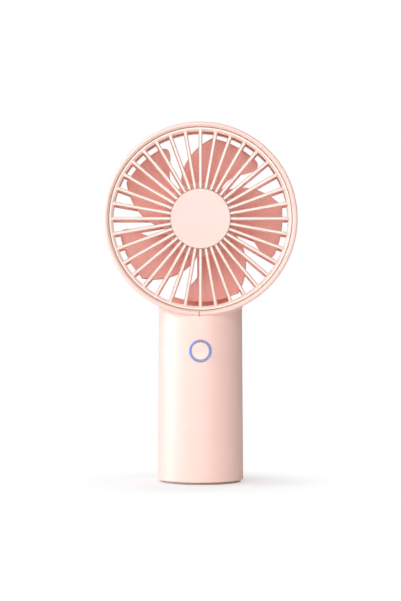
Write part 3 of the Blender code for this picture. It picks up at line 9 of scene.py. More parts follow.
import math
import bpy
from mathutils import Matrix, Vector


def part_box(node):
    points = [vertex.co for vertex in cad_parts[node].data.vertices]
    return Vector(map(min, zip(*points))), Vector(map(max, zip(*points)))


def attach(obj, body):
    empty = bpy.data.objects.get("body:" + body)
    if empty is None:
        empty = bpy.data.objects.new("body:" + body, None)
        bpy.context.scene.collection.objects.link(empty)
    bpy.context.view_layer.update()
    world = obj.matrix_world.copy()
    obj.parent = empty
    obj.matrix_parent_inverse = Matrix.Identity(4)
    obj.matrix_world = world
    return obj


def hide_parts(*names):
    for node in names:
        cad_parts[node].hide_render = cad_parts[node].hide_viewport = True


bl_info = {
    "name": "Handheld fan finish",
    "version": (1, 0, 0),
    "blender": (4, 5, 0),
    "location": "3D View > Sidebar > Fan",
    "description": "Shells, grilles, impeller, finishes and studio of a handheld electric fan",
    "category": "Object",
}

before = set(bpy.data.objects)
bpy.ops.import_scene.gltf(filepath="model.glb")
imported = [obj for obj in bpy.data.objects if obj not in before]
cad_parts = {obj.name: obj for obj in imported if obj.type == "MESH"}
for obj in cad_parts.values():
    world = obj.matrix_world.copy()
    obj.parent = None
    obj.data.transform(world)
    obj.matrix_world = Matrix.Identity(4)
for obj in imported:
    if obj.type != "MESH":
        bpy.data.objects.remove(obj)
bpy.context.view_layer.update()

import bmesh
import bpy
from bpy.props import FloatProperty, FloatVectorProperty, IntProperty, PointerProperty
from mathutils import Matrix, Vector

# ---------------------------------------------------------------- places read from the frame
SHELL_LOW, SHELL_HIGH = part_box("main_body")
HEAD_RADIUS = SHELL_HIGH.x
HEAD_HEIGHT = SHELL_HIGH.z - HEAD_RADIUS
HEAD_FRONT = -SHELL_LOW.y
HANDLE_FOOT = SHELL_LOW.z
FOOT_RADIUS = SHELL_HIGH.y
GRILLE_LOW, GRILLE_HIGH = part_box("front_grille")
RING_OUTER = GRILLE_HIGH.x
RIB_FACE = -GRILLE_LOW.y
RING_BACK = -GRILLE_HIGH.y
CAP_LOW, CAP_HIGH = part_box("front_hub_cap")
CAP_RADIUS = CAP_HIGH.x
CAP_FACE = -CAP_LOW.y
CAP_STEM_END = -CAP_HIGH.y
REAR_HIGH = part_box("rear_grille")[1]
REAR_RING_OUTER = REAR_HIGH.x
REAR_BACK = -REAR_HIGH.y
REAR_CAP_LOW, REAR_CAP_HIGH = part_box("rear_hub_cap")
REAR_CAP_RADIUS = REAR_CAP_HIGH.x
REAR_CAP_BACK = -REAR_CAP_HIGH.y
REAR_CAP_STEM_END = -REAR_CAP_LOW.y
LIGHT_LOW, LIGHT_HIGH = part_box("light_ring")
LIGHT_COLLAR_RADIUS = LIGHT_HIGH.x
BUTTON_HEIGHT = (LIGHT_LOW.z + LIGHT_HIGH.z) / 2
LIGHT_BACK = LIGHT_HIGH.y
BUTTON_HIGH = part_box("power_button")[1]
BUTTON_FLANGE_RADIUS = BUTTON_HIGH.x
BUTTON_BACK = BUTTON_HIGH.y
PAD_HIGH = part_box("foot_pad")[1]
FOOT_CAP_LOW, FOOT_CAP_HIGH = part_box("foot_cap")
SOCKET_LOW, SOCKET_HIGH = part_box("usb_socket")
SOCKET_LEVEL = (SOCKET_LOW.z + SOCKET_HIGH.z) / 2
FOOT_SCREWS = [sum(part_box(f"foot_screw_{number}"), Vector()) / 2 for number in (1, 2, 3)]
MOTOR_SCREWS = [sum(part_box(f"motor_screw_{number}"), Vector()) / 2 for number in (1, 2, 3)]

# ---------------------------------------------------------------- sizes of the moulded pieces
HANDLE_TOP_RADIUS = 0.0240  # under the head
HANDLE_LENGTH = HEAD_HEIGHT - HEAD_RADIUS
WALL = 0.0020
FIT_GAP = 0.0003
HEAD_BACK = 0.0200  # behind the impeller's centre plane
REAR_ROOM = HEAD_BACK - 0.0006  # past this depth the handle stands behind the head
NECK_LENGTH = 0.0075  # the stretch below the head whose rows follow the neck
SHOULDER_TOP = HANDLE_LENGTH + 0.0075  # the handle's back runs up behind the head this far
SHOULDER_SLOPE = 2.28  # how steeply it falls towards the back
SHOULDER_ROUND = 0.0080
REAR_RIM_EDGE = 0.0018  # outer radius of the head's rear edge
RIM_FACE_WIDTH = 0.0018
RIM_FALL = 0.0012  # how far the rim falls back from its face to the grille
SEAT = 0.0015  # width and thickness of the ledge that the front grille sits on
STOP_WIDTH = 0.0011  # the bead in front of the rear grille
STOP_HEIGHT = 0.0010
LEAD_HOLE_RADIUS = 0.0016
MARK_LEFT = -0.0010  # the gate mark in the rim under the head
MARK_RIGHT = -0.0004
MARK_DEPTH = 0.0030
MARK_LENGTH = 0.0029
PORT_MOUTH = 0.0016  # depth of the flared mouth around the charging socket
PORT_FLARE = (1.24, 1.0, 1.58)
RIB_COUNT = 36
RING_WIDTH = 0.0022
RING_SET_BACK = 0.0010  # the ring's face behind the ribs'
RIB_DEPTH = 0.0026
RIB_BEND = 0.0032  # the outer stretch of a rib, which falls back to the ring
RIB_ROOT_SET_IN = 0.0020  # how far a rib reaches in under the cap
RING_BEVEL = 0.0012
PLATE_THICKNESS = 0.0015  # the plate behind the cap
PLATE_SET_IN = 0.0008
CAP_THICKNESS = 0.0013
CAP_EDGE = 0.00045
CAP_BORDER = 0.0050
STEM_RADIUS = 0.0026  # of both caps
REAR_RIB_BACK = -0.0165
REAR_RIB_DEPTH = 0.0030
REAR_RIB_ROOT = 0.0016
REAR_RIB_FACE = 0.0012
REAR_RIB_SET_IN = 0.0015
REAR_HUB_RADIUS = 0.0210
REAR_HUB_BACK = -0.0168
REAR_HUB_THICKNESS = 0.0030
REAR_RING_INNER = REAR_RING_OUTER - 0.0014
REAR_RING_FRONT = -0.0126
TONGUE_HALF_ANGLE = 21.0  # the blind part of the rear grille in front of the handle
TONGUE_INNER = REAR_RING_INNER - 0.0045
TONGUE_STEPS = 24
LEAD_CHANNEL = 0.0011  # half the width of the groove that holds the motor lead
CHANNEL_WALL = 0.0008
CHANNEL_DEPTH = 0.0022
PILOT_RADIUS = 0.0012
BOSS_RADIUS = 0.0026
BOSS_FRONT = -0.0083
REAR_CAP_RIM = 0.0030  # width of the raised rim round the rear cap's face
REAR_CAP_RECESS = 0.0002
BLADE_COUNT = 5
BLADE_TIP = 0.0473
HUB_RADIUS = 0.0214
HUB_FRONT = 0.0160
HUB_BACK = -0.0050
HUB_WALL = 0.0014
HUB_FACE = 0.0016  # thickness of the hub's front
GRIP_OUTER = 0.0157  # the ring inside the hub that grips the rotor
GRIP_INNER = 0.0145
GRIP_DEPTH = 0.0080
BORE_BOSS_RADIUS = 0.0040
BORE_BOSS_DEPTH = 0.0015
BORE_RADIUS = 0.0018
BORE_END = 0.0008  # thickness left in front of the shaft's bore
TRAILING_ROOT = -30.0  # angles of the blade's edges, in degrees
TRAILING_SWEEP = 31.0
TRAILING_CURL = 8.4
LEADING_ROOT = 33.5
LEADING_SWEEP = 14.0
TIP_ROUND_START = 0.88  # share of the span past which the leading tip is rounded
TIP_ROUND = 6.0
TRAILING_HEIGHT = 0.0130  # the trailing edge stands forward, and its lead shrinks towards the tip
TRAILING_FALL = 0.0055
LEADING_HEIGHT = -0.0040
LEADING_RISE = 0.0020
BLADE_CAMBER = 0.0016
# pitch of the faint radial stripes on the blades, which are painted shadows of the grille's ribs
SHADOW_STREAK_PITCH = 0.00143125
LIGHT_BORE = 0.00535
LIGHT_RADIUS = 0.0064
BUTTON_RADIUS = 0.00505
BUTTON_STEP = 0.0047  # from the crown of the handle to the flange behind it
BUTTON_SET_IN = 0.0001
BUTTON_DISH = 0.00018
BUTTON_EDGE = 0.00035
LIGHT_EDGE = 0.00018
COLLAR_THICKNESS = 0.0009
COLLAR_STEP = 0.0008  # how much wider the ring's bore is behind the button's flange
FOOT_FLANGE_SET_IN = 0.0015
FOOT_FLANGE_THICKNESS = 0.0007
FOOT_PLUG_WALL = 0.0009
FOOT_PLATE = 0.0011  # thickness of the foot cap's floor
FOOT_SINK_RADIUS = 0.0022
TREAD_COUNT = 4
TREAD_DEPTH = 0.0003
SOCKET_WALL = 0.0004
SOCKET_FLOOR = 0.0032
SOCKET_TONGUE_LENGTH = 0.0048
SOCKET_TONGUE_HALF_WIDTH = 0.0033
SOCKET_TONGUE_HALF_HEIGHT = 0.00035
CONTACT_COUNT = 12
CONTACT_PITCH = 0.0005
CONTACT_HALF_WIDTH = 0.00013
CONTACT_HALF_HEIGHT = 0.00004
FLOOR_RADIUS = 6.0
FADE_START = 0.020  # from the middle of the foot
FADE_END = 0.085
ROUND_STEPS = 240  # sides of the head's round shapes
SMALL_STEPS = 96


def linear(hex_colour):
    """A shader's linear colour from an sRGB hex value."""
    channels = [int(hex_colour[i:i + 2], 16) / 255 for i in (0, 2, 4)]
    return tuple(c / 12.92 if c <= 0.04045 else ((c + 0.055) / 1.055) ** 2.4 for c in channels)


def colour_property(name, description, hex_colour):
    """A colour that a user can change, given as an sRGB hex value."""
    return FloatVectorProperty(
        name=name, description=description, subtype="COLOR", size=3, min=0.0, max=1.0,
        default=linear(hex_colour)
    )


# ---------------------------------------------------------------- what a user would change
class FanSizes(bpy.types.PropertyGroup):
    """Sizes of the edges and sections that give the mouldings their look."""

    rib_face: FloatProperty(
        name="Rib face", description="Width of a front rib at its face", default=0.00118, unit="LENGTH"
    )
    rib_root: FloatProperty(
        name="Rib root", description="Width of a front rib at its back", default=0.00212, unit="LENGTH"
    )
    rib_edge: FloatProperty(
        name="Rib edge", description="Radius along the ribs' front edges", default=0.00028, unit="LENGTH"
    )
    rear_rib_edge: FloatProperty(
        name="Rear rib edge", description="Radius along the rear ribs' edges", default=0.00040, unit="LENGTH"
    )
    rim_edge: FloatProperty(
        name="Rim edge", description="Outer radius of the head's front rim", default=0.00130, unit="LENGTH"
    )
    neck_fillet: FloatProperty(
        name="Neck fillet", description="Radius where the handle's sides meet the head", default=0.0036,
        unit="LENGTH"
    )
    foot_edge: FloatProperty(
        name="Foot edge", description="Radius round the foot of the handle", default=0.0010, unit="LENGTH"
    )
    blade_thickness: FloatProperty(
        name="Blade thickness", description="Thickness of the impeller's blades", default=0.0011,
        unit="LENGTH"
    )
    blade_rows: IntProperty(name="Blade rows", description="Faces along a blade's span", default=36, min=8)
    blade_columns: IntProperty(name="Blade columns", description="Faces across a blade", default=22, min=6)


class FanColours(bpy.types.PropertyGroup):
    """Colours of the pieces that show."""

    shell: colour_property("Shell", "Peach of the head and the handle", "F6D0C5")
    grille: colour_property("Grille", "Cream peach of the front grille", "F6D9CE")
    # the cap's colour is its cream peach, darkened and greyed as painted shade to offset the light that its
    # flat face catches from the front
    cap: colour_property("Cap", "Cream peach of the front cap", "E3C3B9")
    impeller: colour_property("Impeller", "Coral of the impeller", "FCBDB2")
    # the rear grille's colour is its own peach, pushed brighter and redder as painted light: it stands in
    # for the coral bounce light that falls on it inside the head
    rear: colour_property("Rear grille", "Peach of the rear grille", "FFAE9A")
    # the foot cap's warm grey is painted shade: it darkens the cap so that its rim shows as the shaded line
    # along the foot of the handle
    foot: colour_property("Foot cap", "Warm grey of the foot cap", "AB9892")
    pad: colour_property("Foot pad", "Dull pink of the foot pad", "CFA094")
    light: colour_property("Light", "Blue of the lit ring", "4A7CE4")
    light_dim: colour_property("Light between lamps", "Blue of the lit ring, between its lamps", "6A5F86")
    floor: colour_property("Floor", "Pale floor", "F7F5F3")


class FanStudio(bpy.types.PropertyGroup):
    """Camera and lights."""

    distance: FloatProperty(
        name="Distance", description="From the camera to the fan's front", default=1.10, unit="LENGTH"
    )
    height: FloatProperty(name="Height", description="Height of the camera", default=0.1046, unit="LENGTH")
    lens: FloatProperty(name="Lens", description="Focal length", default=116.5, unit="CAMERA")
    key: FloatProperty(
        name="Key", description="Power of the large light in front", default=13.2, unit="POWER"
    )
    side: FloatProperty(
        name="Side", description="Power of the tall light on the left", default=9.5, unit="POWER"
    )
    fill: FloatProperty(
        name="Fill", description="Power of the light by the camera", default=10.2, unit="POWER"
    )
    back: FloatProperty(
        name="Back", description="Power of the light behind the fan", default=9.0, unit="POWER"
    )
    surround: FloatProperty(name="Surround", description="Brightness of the surrounding light", default=0.51)


# ---------------------------------------------------------------- frames of the pieces
def head_frame():
    """From the head's own frame, whose +Z points forward, to the fan's."""
    return Matrix.Translation((0, 0, HEAD_HEIGHT)) @ Matrix.Rotation(math.radians(90), 4, "X")


def inward_frame(height):
    """From a frame whose +Z points into the handle from the front, at a height."""
    return Matrix.Translation((0, 0, height)) @ Matrix.Rotation(math.radians(-90), 4, "X")


def clockwise(degrees):
    """A turn about the head's axis, clockwise as seen from the front."""
    return Matrix.Rotation(-math.radians(degrees), 4, "Z")


# ---------------------------------------------------------------- shaping
def rounded(corners, segments=5, closed=True):
    """An outline of (x, y) points whose corners (x, y, radius) are turned into arcs."""
    points = []
    for number, (x, y, radius) in enumerate(corners):
        at_end = not closed and number in (0, len(corners) - 1)
        if radius == 0 or at_end:
            points.append((x, y))
            continue
        corner = Vector((x, y))
        before = (Vector(corners[number - 1][:2]) - corner).normalized()
        after = (Vector(corners[(number + 1) % len(corners)][:2]) - corner).normalized()
        half = before.angle(after) / 2
        centre = corner + (before + after).normalized() * radius / math.sin(half)
        start = (corner + before * radius / math.tan(half) - centre).normalized()
        end = (corner + after * radius / math.tan(half) - centre).normalized()
        for step in range(segments + 1):
            points.append(tuple(centre + start.slerp(end, step / segments) * radius))
    return points


def turned(profile, steps, closed=True):
    """A bmesh turned about Z from (radius, height) points; an open profile ends on the axis."""
    bm = bmesh.new()
    points = [bm.verts.new((radius, 0.0, height)) for radius, height in profile]
    edges = [bm.edges.new(pair) for pair in zip(points, points[1:])]
    if closed:
        edges.append(bm.edges.new((points[-1], points[0])))
    bmesh.ops.spin(
        bm, geom=points + edges, cent=(0, 0, 0), axis=(0, 0, 1), angle=2 * math.pi, steps=steps,
        use_merge=True
    )
    bmesh.ops.remove_doubles(bm, verts=bm.verts, dist=1e-7)
    bmesh.ops.recalc_face_normals(bm, faces=bm.faces)
    return bm


def extruded(outline, thickness):
    """A bmesh from a flat outline of 3-D points, extruded along a vector."""
    bm = bmesh.new()
    face = bm.faces.new([bm.verts.new(point) for point in outline])
    raised = bmesh.ops.extrude_face_region(bm, geom=[face])
    far = [item for item in raised["geom"] if isinstance(item, bmesh.types.BMVert)]
    bmesh.ops.translate(bm, vec=thickness, verts=far)
    bmesh.ops.recalc_face_normals(bm, faces=bm.faces)
    return bm


def box_between(low, high, edge=0.0):
    """A block between two corners, with rounded edges."""
    low = Vector(low)
    high = Vector(high)
    bm = bmesh.new()
    bmesh.ops.create_cube(bm, size=1.0)
    bmesh.ops.scale(bm, vec=high - low, verts=bm.verts)
    bmesh.ops.translate(bm, vec=(high + low) / 2, verts=bm.verts)
    if edge:
        round_edges(bm, bm.edges[:], edge, 2)
    return bm


def round_edges(bm, edges, radius, segments):
    """Round the given edges of a bmesh."""
    bmesh.ops.bevel(
        bm, geom=edges, offset=radius, offset_type="OFFSET", segments=segments, profile=0.5, material=-1,
        affect="EDGES", clamp_overlap=True
    )


def repeat_round(bm, angles):
    """Replace what the bmesh holds by copies of it turned to each angle."""
    original = list(bm.verts) + list(bm.edges) + list(bm.faces)
    for angle in angles:
        copy = bmesh.ops.duplicate(bm, geom=original)["geom"]
        corners = [item for item in copy if isinstance(item, bmesh.types.BMVert)]
        bmesh.ops.transform(bm, matrix=clockwise(angle), verts=corners)
    bmesh.ops.delete(bm, geom=[item for item in original if isinstance(item, bmesh.types.BMVert)])
    return bm


def evenly(count):
    """Angles of evenly spaced copies, in degrees."""
    return [360.0 * step / count for step in range(count)]


def placed(bm, matrix):
    """The same bmesh, moved by a matrix."""
    bmesh.ops.transform(bm, matrix=matrix, verts=bm.verts)
    return bm


def loose(bm, name="tool"):
    """A bmesh as a plain object in the scene."""
    mesh = bpy.data.meshes.new(name)
    bm.to_mesh(mesh)
    bm.free()
    made = bpy.data.objects.new(name, mesh)
    bpy.context.scene.collection.objects.link(made)
    return made


def combined(base, *steps):
    """The base bmesh after each (operation, bmesh) Boolean in turn, as a bmesh."""
    target = loose(base, "base")
    tools = []
    for operation, shape in steps:
        tool = loose(shape)
        tools.append(tool)
        step = target.modifiers.new(tool.name, "BOOLEAN")
        step.operation = operation
        step.solver = "MANIFOLD"
        step.object = tool
    evaluated = target.evaluated_get(bpy.context.evaluated_depsgraph_get())
    result = bmesh.new()
    result.from_mesh(evaluated.to_mesh())
    evaluated.to_mesh_clear()
    for old in [target, *tools]:
        mesh = old.data
        bpy.data.objects.remove(old)
        bpy.data.meshes.remove(mesh)
    bmesh.ops.remove_doubles(result, verts=result.verts, dist=2e-6)
    bmesh.ops.dissolve_degenerate(result, edges=result.edges, dist=1e-6)
    return result


def finish_piece(bm, name, finish, body, nodes=(), sharp=32.0):
    """Turn a bmesh into a named piece that rides on a body and stands for nodes."""
    bmesh.ops.remove_doubles(bm, verts=bm.verts, dist=1e-7)
    bmesh.ops.recalc_face_normals(bm, faces=bm.faces)
    made = loose(bm, name)
    made.data.shade_smooth()
    made.data.set_sharp_from_angle(angle=math.radians(sharp))
    made.data.materials.append(finish)
    even = made.modifiers.new("even_shading", "WEIGHTED_NORMAL")
    even.keep_sharp = True
    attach(made, body)
    if nodes:
        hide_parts(*nodes)
    return made


# ---------------------------------------------------------------- shader building
def add(tree, kind, values=None, links=None, stops=None, **settings):
    """A shader node with its input values, its links, a colour ramp's stops and its settings."""
    made = tree.nodes.new(kind)
    for name, value in settings.items():
        setattr(made, name, value)
    for name, value in (values or {}).items():
        made.inputs[name].default_value = value
    for name, source in (links or {}).items():
        tree.links.new(source, made.inputs[name])
    for number, (position, colour) in enumerate(stops or []):
        ramp = made.color_ramp.elements
        stop = ramp[number] if number < 2 else ramp.new(position)
        stop.position = position
        stop.color = (*colour, 1.0)
    return made


def shaded(colour, share):
    """A linear colour made darker, or lighter with a share over 1."""
    return tuple(min(1.0, channel * share) for channel in colour)


def raise_surface(tree, shader, height, strength, relief):
    """Bump the surface by a height output, with the relief's depth in millimetres."""
    bump = add(
        tree, "ShaderNodeBump", {"Strength": strength, "Distance": relief / 1000.0}, {"Height": height}
    )
    tree.links.new(bump.outputs["Normal"], shader.inputs["Normal"])


def new_finish(name, colours, patch, roughness, grain, relief, metallic=0.0, specular=0.5):
    """A material whose colour and roughness drift over patches and whose surface has a fine grain.

    Colours are the two ends of the drift, roughness its two ends, patch and grain are sizes in
    millimetres, and relief is the grain's depth in millimetres. Returns it with its tree, its shader
    and the object coordinates, so that a finish can add its own pattern.
    """
    made = bpy.data.materials.new(name)
    made.use_nodes = True
    made.diffuse_color = (*colours[0], 1.0)
    tree = made.node_tree
    shader = tree.nodes["Principled BSDF"]
    place = add(tree, "ShaderNodeTexCoord").outputs["Object"]
    drift = add(
        tree, "ShaderNodeTexNoise", {"Scale": 1000.0 / patch, "Detail": 3.0, "Roughness": 0.55},
        {"Vector": place}
    )
    ends = [(0.32, colours[0]), (0.68, colours[1])]
    tint = add(tree, "ShaderNodeValToRGB", links={"Fac": drift.outputs["Fac"]}, stops=ends)
    gloss = add(
        tree, "ShaderNodeMapRange",
        {"From Min": 0.3, "From Max": 0.7, "To Min": roughness[0], "To Max": roughness[1]},
        {"Value": drift.outputs["Fac"]}
    )
    fine = add(tree, "ShaderNodeTexNoise", {"Scale": 1000.0 / grain, "Detail": 2.0}, {"Vector": place})
    tree.links.new(tint.outputs["Color"], shader.inputs["Base Color"])
    tree.links.new(gloss.outputs["Result"], shader.inputs["Roughness"])
    raise_surface(tree, shader, fine.outputs["Fac"], 0.5, relief)
    shader.inputs["Metallic"].default_value = metallic
    shader.inputs["Specular IOR Level"].default_value = specular
    return made, tree, shader, place


def bands(tree, place, pitch, distortion, direction):
    """Soft bands a pitch apart along an axis, in millimetres, or 1.15 times the pitch when diagonal.

    The node's wave runs 20 radians to a unit of its scale.
    """
    scale = 2 * math.pi * 1000.0 / (20.0 * pitch)
    return add(
        tree, "ShaderNodeTexWave", {"Scale": scale, "Distortion": distortion}, {"Vector": place},
        bands_direction=direction
    )


def satin_moulded_abs(name, colour, roughness=(0.42, 0.48)):
    """ABS from a fine spark-eroded mould: a soft sheen, a faint grain and a barely uneven colour.

    The real grain is about 0.05 mm; it is drawn coarser so that it shows.
    """
    return new_finish(
        name, (shaded(colour, 0.985), shaded(colour, 1.012)), 9.0, roughness, 0.45, 0.010, specular=1.0
    )[0]


def moulded_impeller_abs(name, colour):
    """Moulded ABS with a smoother gloss, and faint radial stripes along the blades that are painted shadows
    of the front grille's ribs.
    """
    made, tree, shader, place = new_finish(
        name, (shaded(colour, 0.97), shaded(colour, 1.03)), 12.0, (0.30, 0.38), 0.5, 0.008
    )
    centred = add(
        tree, "ShaderNodeMapping", {"Location": (0.0, 0.0, -HEAD_HEIGHT)}, {"Vector": place},
        vector_type="POINT"
    )
    split = add(tree, "ShaderNodeSeparateXYZ", links={"Vector": centred.outputs["Vector"]})
    turn = add(tree, "ShaderNodeMath", operation="ARCTAN2")
    tree.links.new(split.outputs["X"], turn.inputs[0])
    tree.links.new(split.outputs["Z"], turn.inputs[1])
    # the painted rib shadows are spaced by angle: about 1.5 mm apart at the middle of a blade
    middle = (HUB_RADIUS + BLADE_TIP) / 2
    painted_rib_shadows = add(
        tree, "ShaderNodeTexNoise", {"Scale": middle / SHADOW_STREAK_PITCH, "Detail": 2.0},
        {"W": turn.outputs["Value"]}, noise_dimensions="1D"
    )
    ends = [(0.3, shaded(colour, 0.965)), (0.7, shaded(colour, 1.03))]
    tint = add(tree, "ShaderNodeValToRGB", links={"Fac": painted_rib_shadows.outputs["Fac"]}, stops=ends)
    tree.links.new(tint.outputs["Color"], shader.inputs["Base Color"])
    return made


def lit_polycarbonate(name, bright, dim):
    """Frosted clear polycarbonate lit from behind at both sides: its blue dulls at the top and the bottom.

    Across its width the light is strongest in the middle and pales towards both edges.
    """
    made, tree, shader, place = new_finish(name, (dim, bright), 2.0, (0.22, 0.30), 0.3, 0.004)
    centred = add(
        tree, "ShaderNodeMapping", {"Location": (0.0, 0.0, -BUTTON_HEIGHT), "Scale": (1.0, 0.0, 1.0)},
        {"Vector": place}, vector_type="POINT"
    )
    split = add(tree, "ShaderNodeSeparateXYZ", links={"Vector": centred.outputs["Vector"]})
    side = add(tree, "ShaderNodeMath", operation="ABSOLUTE")
    tree.links.new(split.outputs["X"], side.inputs[0])
    near = add(
        tree, "ShaderNodeMapRange", {"From Min": 0.0, "From Max": LIGHT_RADIUS},
        {"Value": side.outputs["Value"]}
    )
    ends = [(0.10, dim), (0.45, bright)]
    blue = add(tree, "ShaderNodeValToRGB", links={"Fac": near.outputs["Result"]}, stops=ends)
    radius = add(
        tree, "ShaderNodeVectorMath", links={"Vector": centred.outputs["Vector"]}, operation="LENGTH"
    )
    middle = (LIGHT_BORE + LIGHT_RADIUS) / 2
    off = add(tree, "ShaderNodeMath", operation="SUBTRACT")
    tree.links.new(radius.outputs["Value"], off.inputs[0])
    off.inputs[1].default_value = middle
    spread = add(tree, "ShaderNodeMath", operation="ABSOLUTE")
    tree.links.new(off.outputs["Value"], spread.inputs[0])
    edge = add(
        tree, "ShaderNodeMapRange",
        {"From Min": LIGHT_EDGE, "From Max": LIGHT_RADIUS - middle, "To Min": 0.0},
        {"Value": spread.outputs["Value"]}
    )
    pale = tuple((channel + 1.0) / 2.0 for channel in dim)
    glow = add(
        tree, "ShaderNodeMixRGB", {"Color2": (*pale, 1.0)},
        {"Fac": edge.outputs["Result"], "Color1": blue.outputs["Color"]}
    )
    tree.links.new(glow.outputs["Color"], shader.inputs["Base Color"])
    tree.links.new(glow.outputs["Color"], shader.inputs["Emission Color"])
    shader.inputs["Emission Strength"].default_value = 0.15
    return made


def moulded_silicone(name, colour):
    """Soft silicone rubber from an etched mould: matt, slightly dusty, with a fine grain."""
    return new_finish(
        name, (shaded(colour, 0.94), shaded(colour, 1.04)), 5.0, (0.68, 0.80), 0.4, 0.015, specular=0.3
    )[0]


def plated_steel(name, light="C6C9CC", dark="A3A7AB", roughness=(0.24, 0.36)):
    """Steel with a thin bright plating: metallic, with the slight cloudiness of a plating bath."""
    return new_finish(name, (linear(dark), linear(light)), 1.6, roughness, 0.25, 0.004, metallic=1.0)[0]


def ground_steel(name):
    """A centreless-ground pin: bright steel with fine rings round its axis.

    Real grinding marks are finer; they are drawn 0.3 mm apart so that they show.
    """
    made, tree, shader, place = new_finish(
        name, (linear("B4B6B8"), linear("D8DADC")), 1.2, (0.16, 0.26), 0.2, 0.002, metallic=1.0
    )
    rings = bands(tree, place, 0.314, 0.4, "Y")
    raise_surface(tree, shader, rings.outputs["Fac"], 0.3, 0.004)
    return made


def turned_brass(name):
    """Brass from a lathe: yellow metal with tool marks round its axis, 0.4 mm apart."""
    made, tree, shader, place = new_finish(
        name, (linear("B58E45"), linear("D9B871")), 2.0, (0.22, 0.34), 0.3, 0.003, metallic=1.0
    )
    marks = bands(tree, place, 0.393, 0.6, "Y")
    raise_surface(tree, shader, marks.outputs["Fac"], 0.4, 0.006)
    return made


def sintered_metal(name, light, dark, metallic):
    """Pressed and sintered powder: dull, with open pores of about 0.1 mm that darken it."""
    made, tree, shader, place = new_finish(
        name, (linear(dark), linear(light)), 1.0, (0.50, 0.66), 0.12, 0.02, metallic=metallic
    )
    pores = add(tree, "ShaderNodeTexVoronoi", {"Scale": 5000.0}, {"Vector": place})
    spots = add(
        tree, "ShaderNodeValToRGB", links={"Fac": pores.outputs["Distance"]},
        stops=[(0.10, shaded(linear(dark), 0.5)), (0.35, linear(light))]
    )
    tree.links.new(spots.outputs["Color"], shader.inputs["Base Color"])
    return made


def stacked_electrical_steel(name):
    """Stamped laminations stacked along the axis: thin dark joints, drawn 1 mm apart so that they show."""
    made, tree, shader, place = new_finish(
        name, (linear("6A6D71"), linear("868A8E")), 1.5, (0.36, 0.50), 0.2, 0.004, metallic=1.0
    )
    sheets = bands(tree, place, 1.0, 0.0, "Y")
    joints = add(
        tree, "ShaderNodeValToRGB", links={"Fac": sheets.outputs["Fac"]},
        stops=[(0.08, linear("2B2C2E")), (0.30, linear("7C8084"))]
    )
    tree.links.new(joints.outputs["Color"], shader.inputs["Base Color"])
    raise_surface(tree, shader, sheets.outputs["Fac"], 0.6, 0.03)
    return made


def enamelled_copper_wire(name):
    """Copper wire under clear enamel, wound close: round turns, with painted shade in the gaps between them.

    The real wire is about 0.35 mm thick; its turns are drawn 0.8 mm apart so that they show.
    """
    made, tree, shader, place = new_finish(
        name, (linear("A9552A"), linear("D07C45")), 1.0, (0.22, 0.34), 0.3, 0.002, metallic=1.0
    )
    turns = bands(tree, place, 0.7, 0.3, "DIAGONAL")
    # painted shade: the colour darkens in the gaps between the turns
    wire = add(
        tree, "ShaderNodeValToRGB", links={"Fac": turns.outputs["Fac"]},
        stops=[(0.05, linear("4A1E0C")), (0.45, linear("C56F3A"))]
    )
    tree.links.new(wire.outputs["Color"], shader.inputs["Base Color"])
    raise_surface(tree, shader, turns.outputs["Fac"], 0.9, 0.08)
    return made


def moulded_nylon(name, light, dark, roughness=(0.46, 0.58)):
    """Nylon from a plain mould: a waxy, even surface with very soft flow marks."""
    return new_finish(name, (linear(dark), linear(light)), 4.0, roughness, 0.4, 0.008)[0]


def solder_masked_laminate(name):
    """Glass-epoxy board under green solder mask: the tracks below show as paler, raised lines."""
    made, tree, shader, place = new_finish(
        name, (linear("17573C"), linear("1E6848")), 6.0, (0.26, 0.36), 0.3, 0.003
    )
    # square cells of about 1.6 mm, whose borders read as tracks
    tracks = add(
        tree, "ShaderNodeTexVoronoi", {"Scale": 620.0, "Randomness": 0.55}, {"Vector": place},
        feature="DISTANCE_TO_EDGE", distance="CHEBYCHEV"
    )
    mask = add(
        tree, "ShaderNodeValToRGB", links={"Fac": tracks.outputs["Distance"]},
        stops=[(0.05, linear("3A8A62")), (0.11, linear("1A5E40"))]
    )
    tree.links.new(mask.outputs["Color"], shader.inputs["Base Color"])
    raise_surface(tree, shader, mask.outputs["Color"], 0.4, 0.03)
    return made


def shrunk_film(name):
    """PVC film shrunk over a cell: glossy blue with soft wrinkles that run along the cell."""
    made, tree, shader, place = new_finish(
        name, (linear("2F6E9E"), linear("3F83B5")), 6.0, (0.20, 0.30), 0.5, 0.004
    )
    narrow = add(
        tree, "ShaderNodeMapping", {"Scale": (1.0, 1.0, 0.12)}, {"Vector": place}, vector_type="POINT"
    )
    wrinkles = add(
        tree, "ShaderNodeTexNoise", {"Scale": 420.0, "Detail": 3.0}, {"Vector": narrow.outputs["Vector"]}
    )
    raise_surface(tree, shader, wrinkles.outputs["Fac"], 0.5, 0.06)
    return made


def extruded_sleeve(name, light, dark):
    """Silicone insulation drawn over a wire: a dull sheen and a colour that is even along it."""
    return new_finish(name, (linear(dark), linear(light)), 3.0, (0.42, 0.56), 0.3, 0.004)[0]


def moulded_epoxy(name, light, dark):
    """Epoxy moulded round a chip or a coil: dark, matt, with the mould's fine blasted grain."""
    return new_finish(name, (linear(dark), linear(light)), 1.5, (0.48, 0.60), 0.15, 0.012)[0]


def gold_flashed_contact(name):
    """Copper contacts with a flash of gold: warm, bright and slightly uneven."""
    ends = (linear("C99A3C"), linear("E8C26A"))
    return new_finish(name, ends, 0.8, (0.18, 0.28), 0.2, 0.002, metallic=1.0)[0]


# ---------------------------------------------------------------- shell
def handle_radius(height):
    """Outer radius of the handle, which widens evenly from its top to its foot."""
    share = 1.0 - min(max(height / HANDLE_LENGTH, 0.0), 1.0)
    return HANDLE_TOP_RADIUS + (FOOT_RADIUS - HANDLE_TOP_RADIUS) * share


def head_underside(across):
    """Height of the head's outside, at a distance to the side."""
    return HEAD_HEIGHT - math.sqrt(HEAD_RADIUS ** 2 - across ** 2)


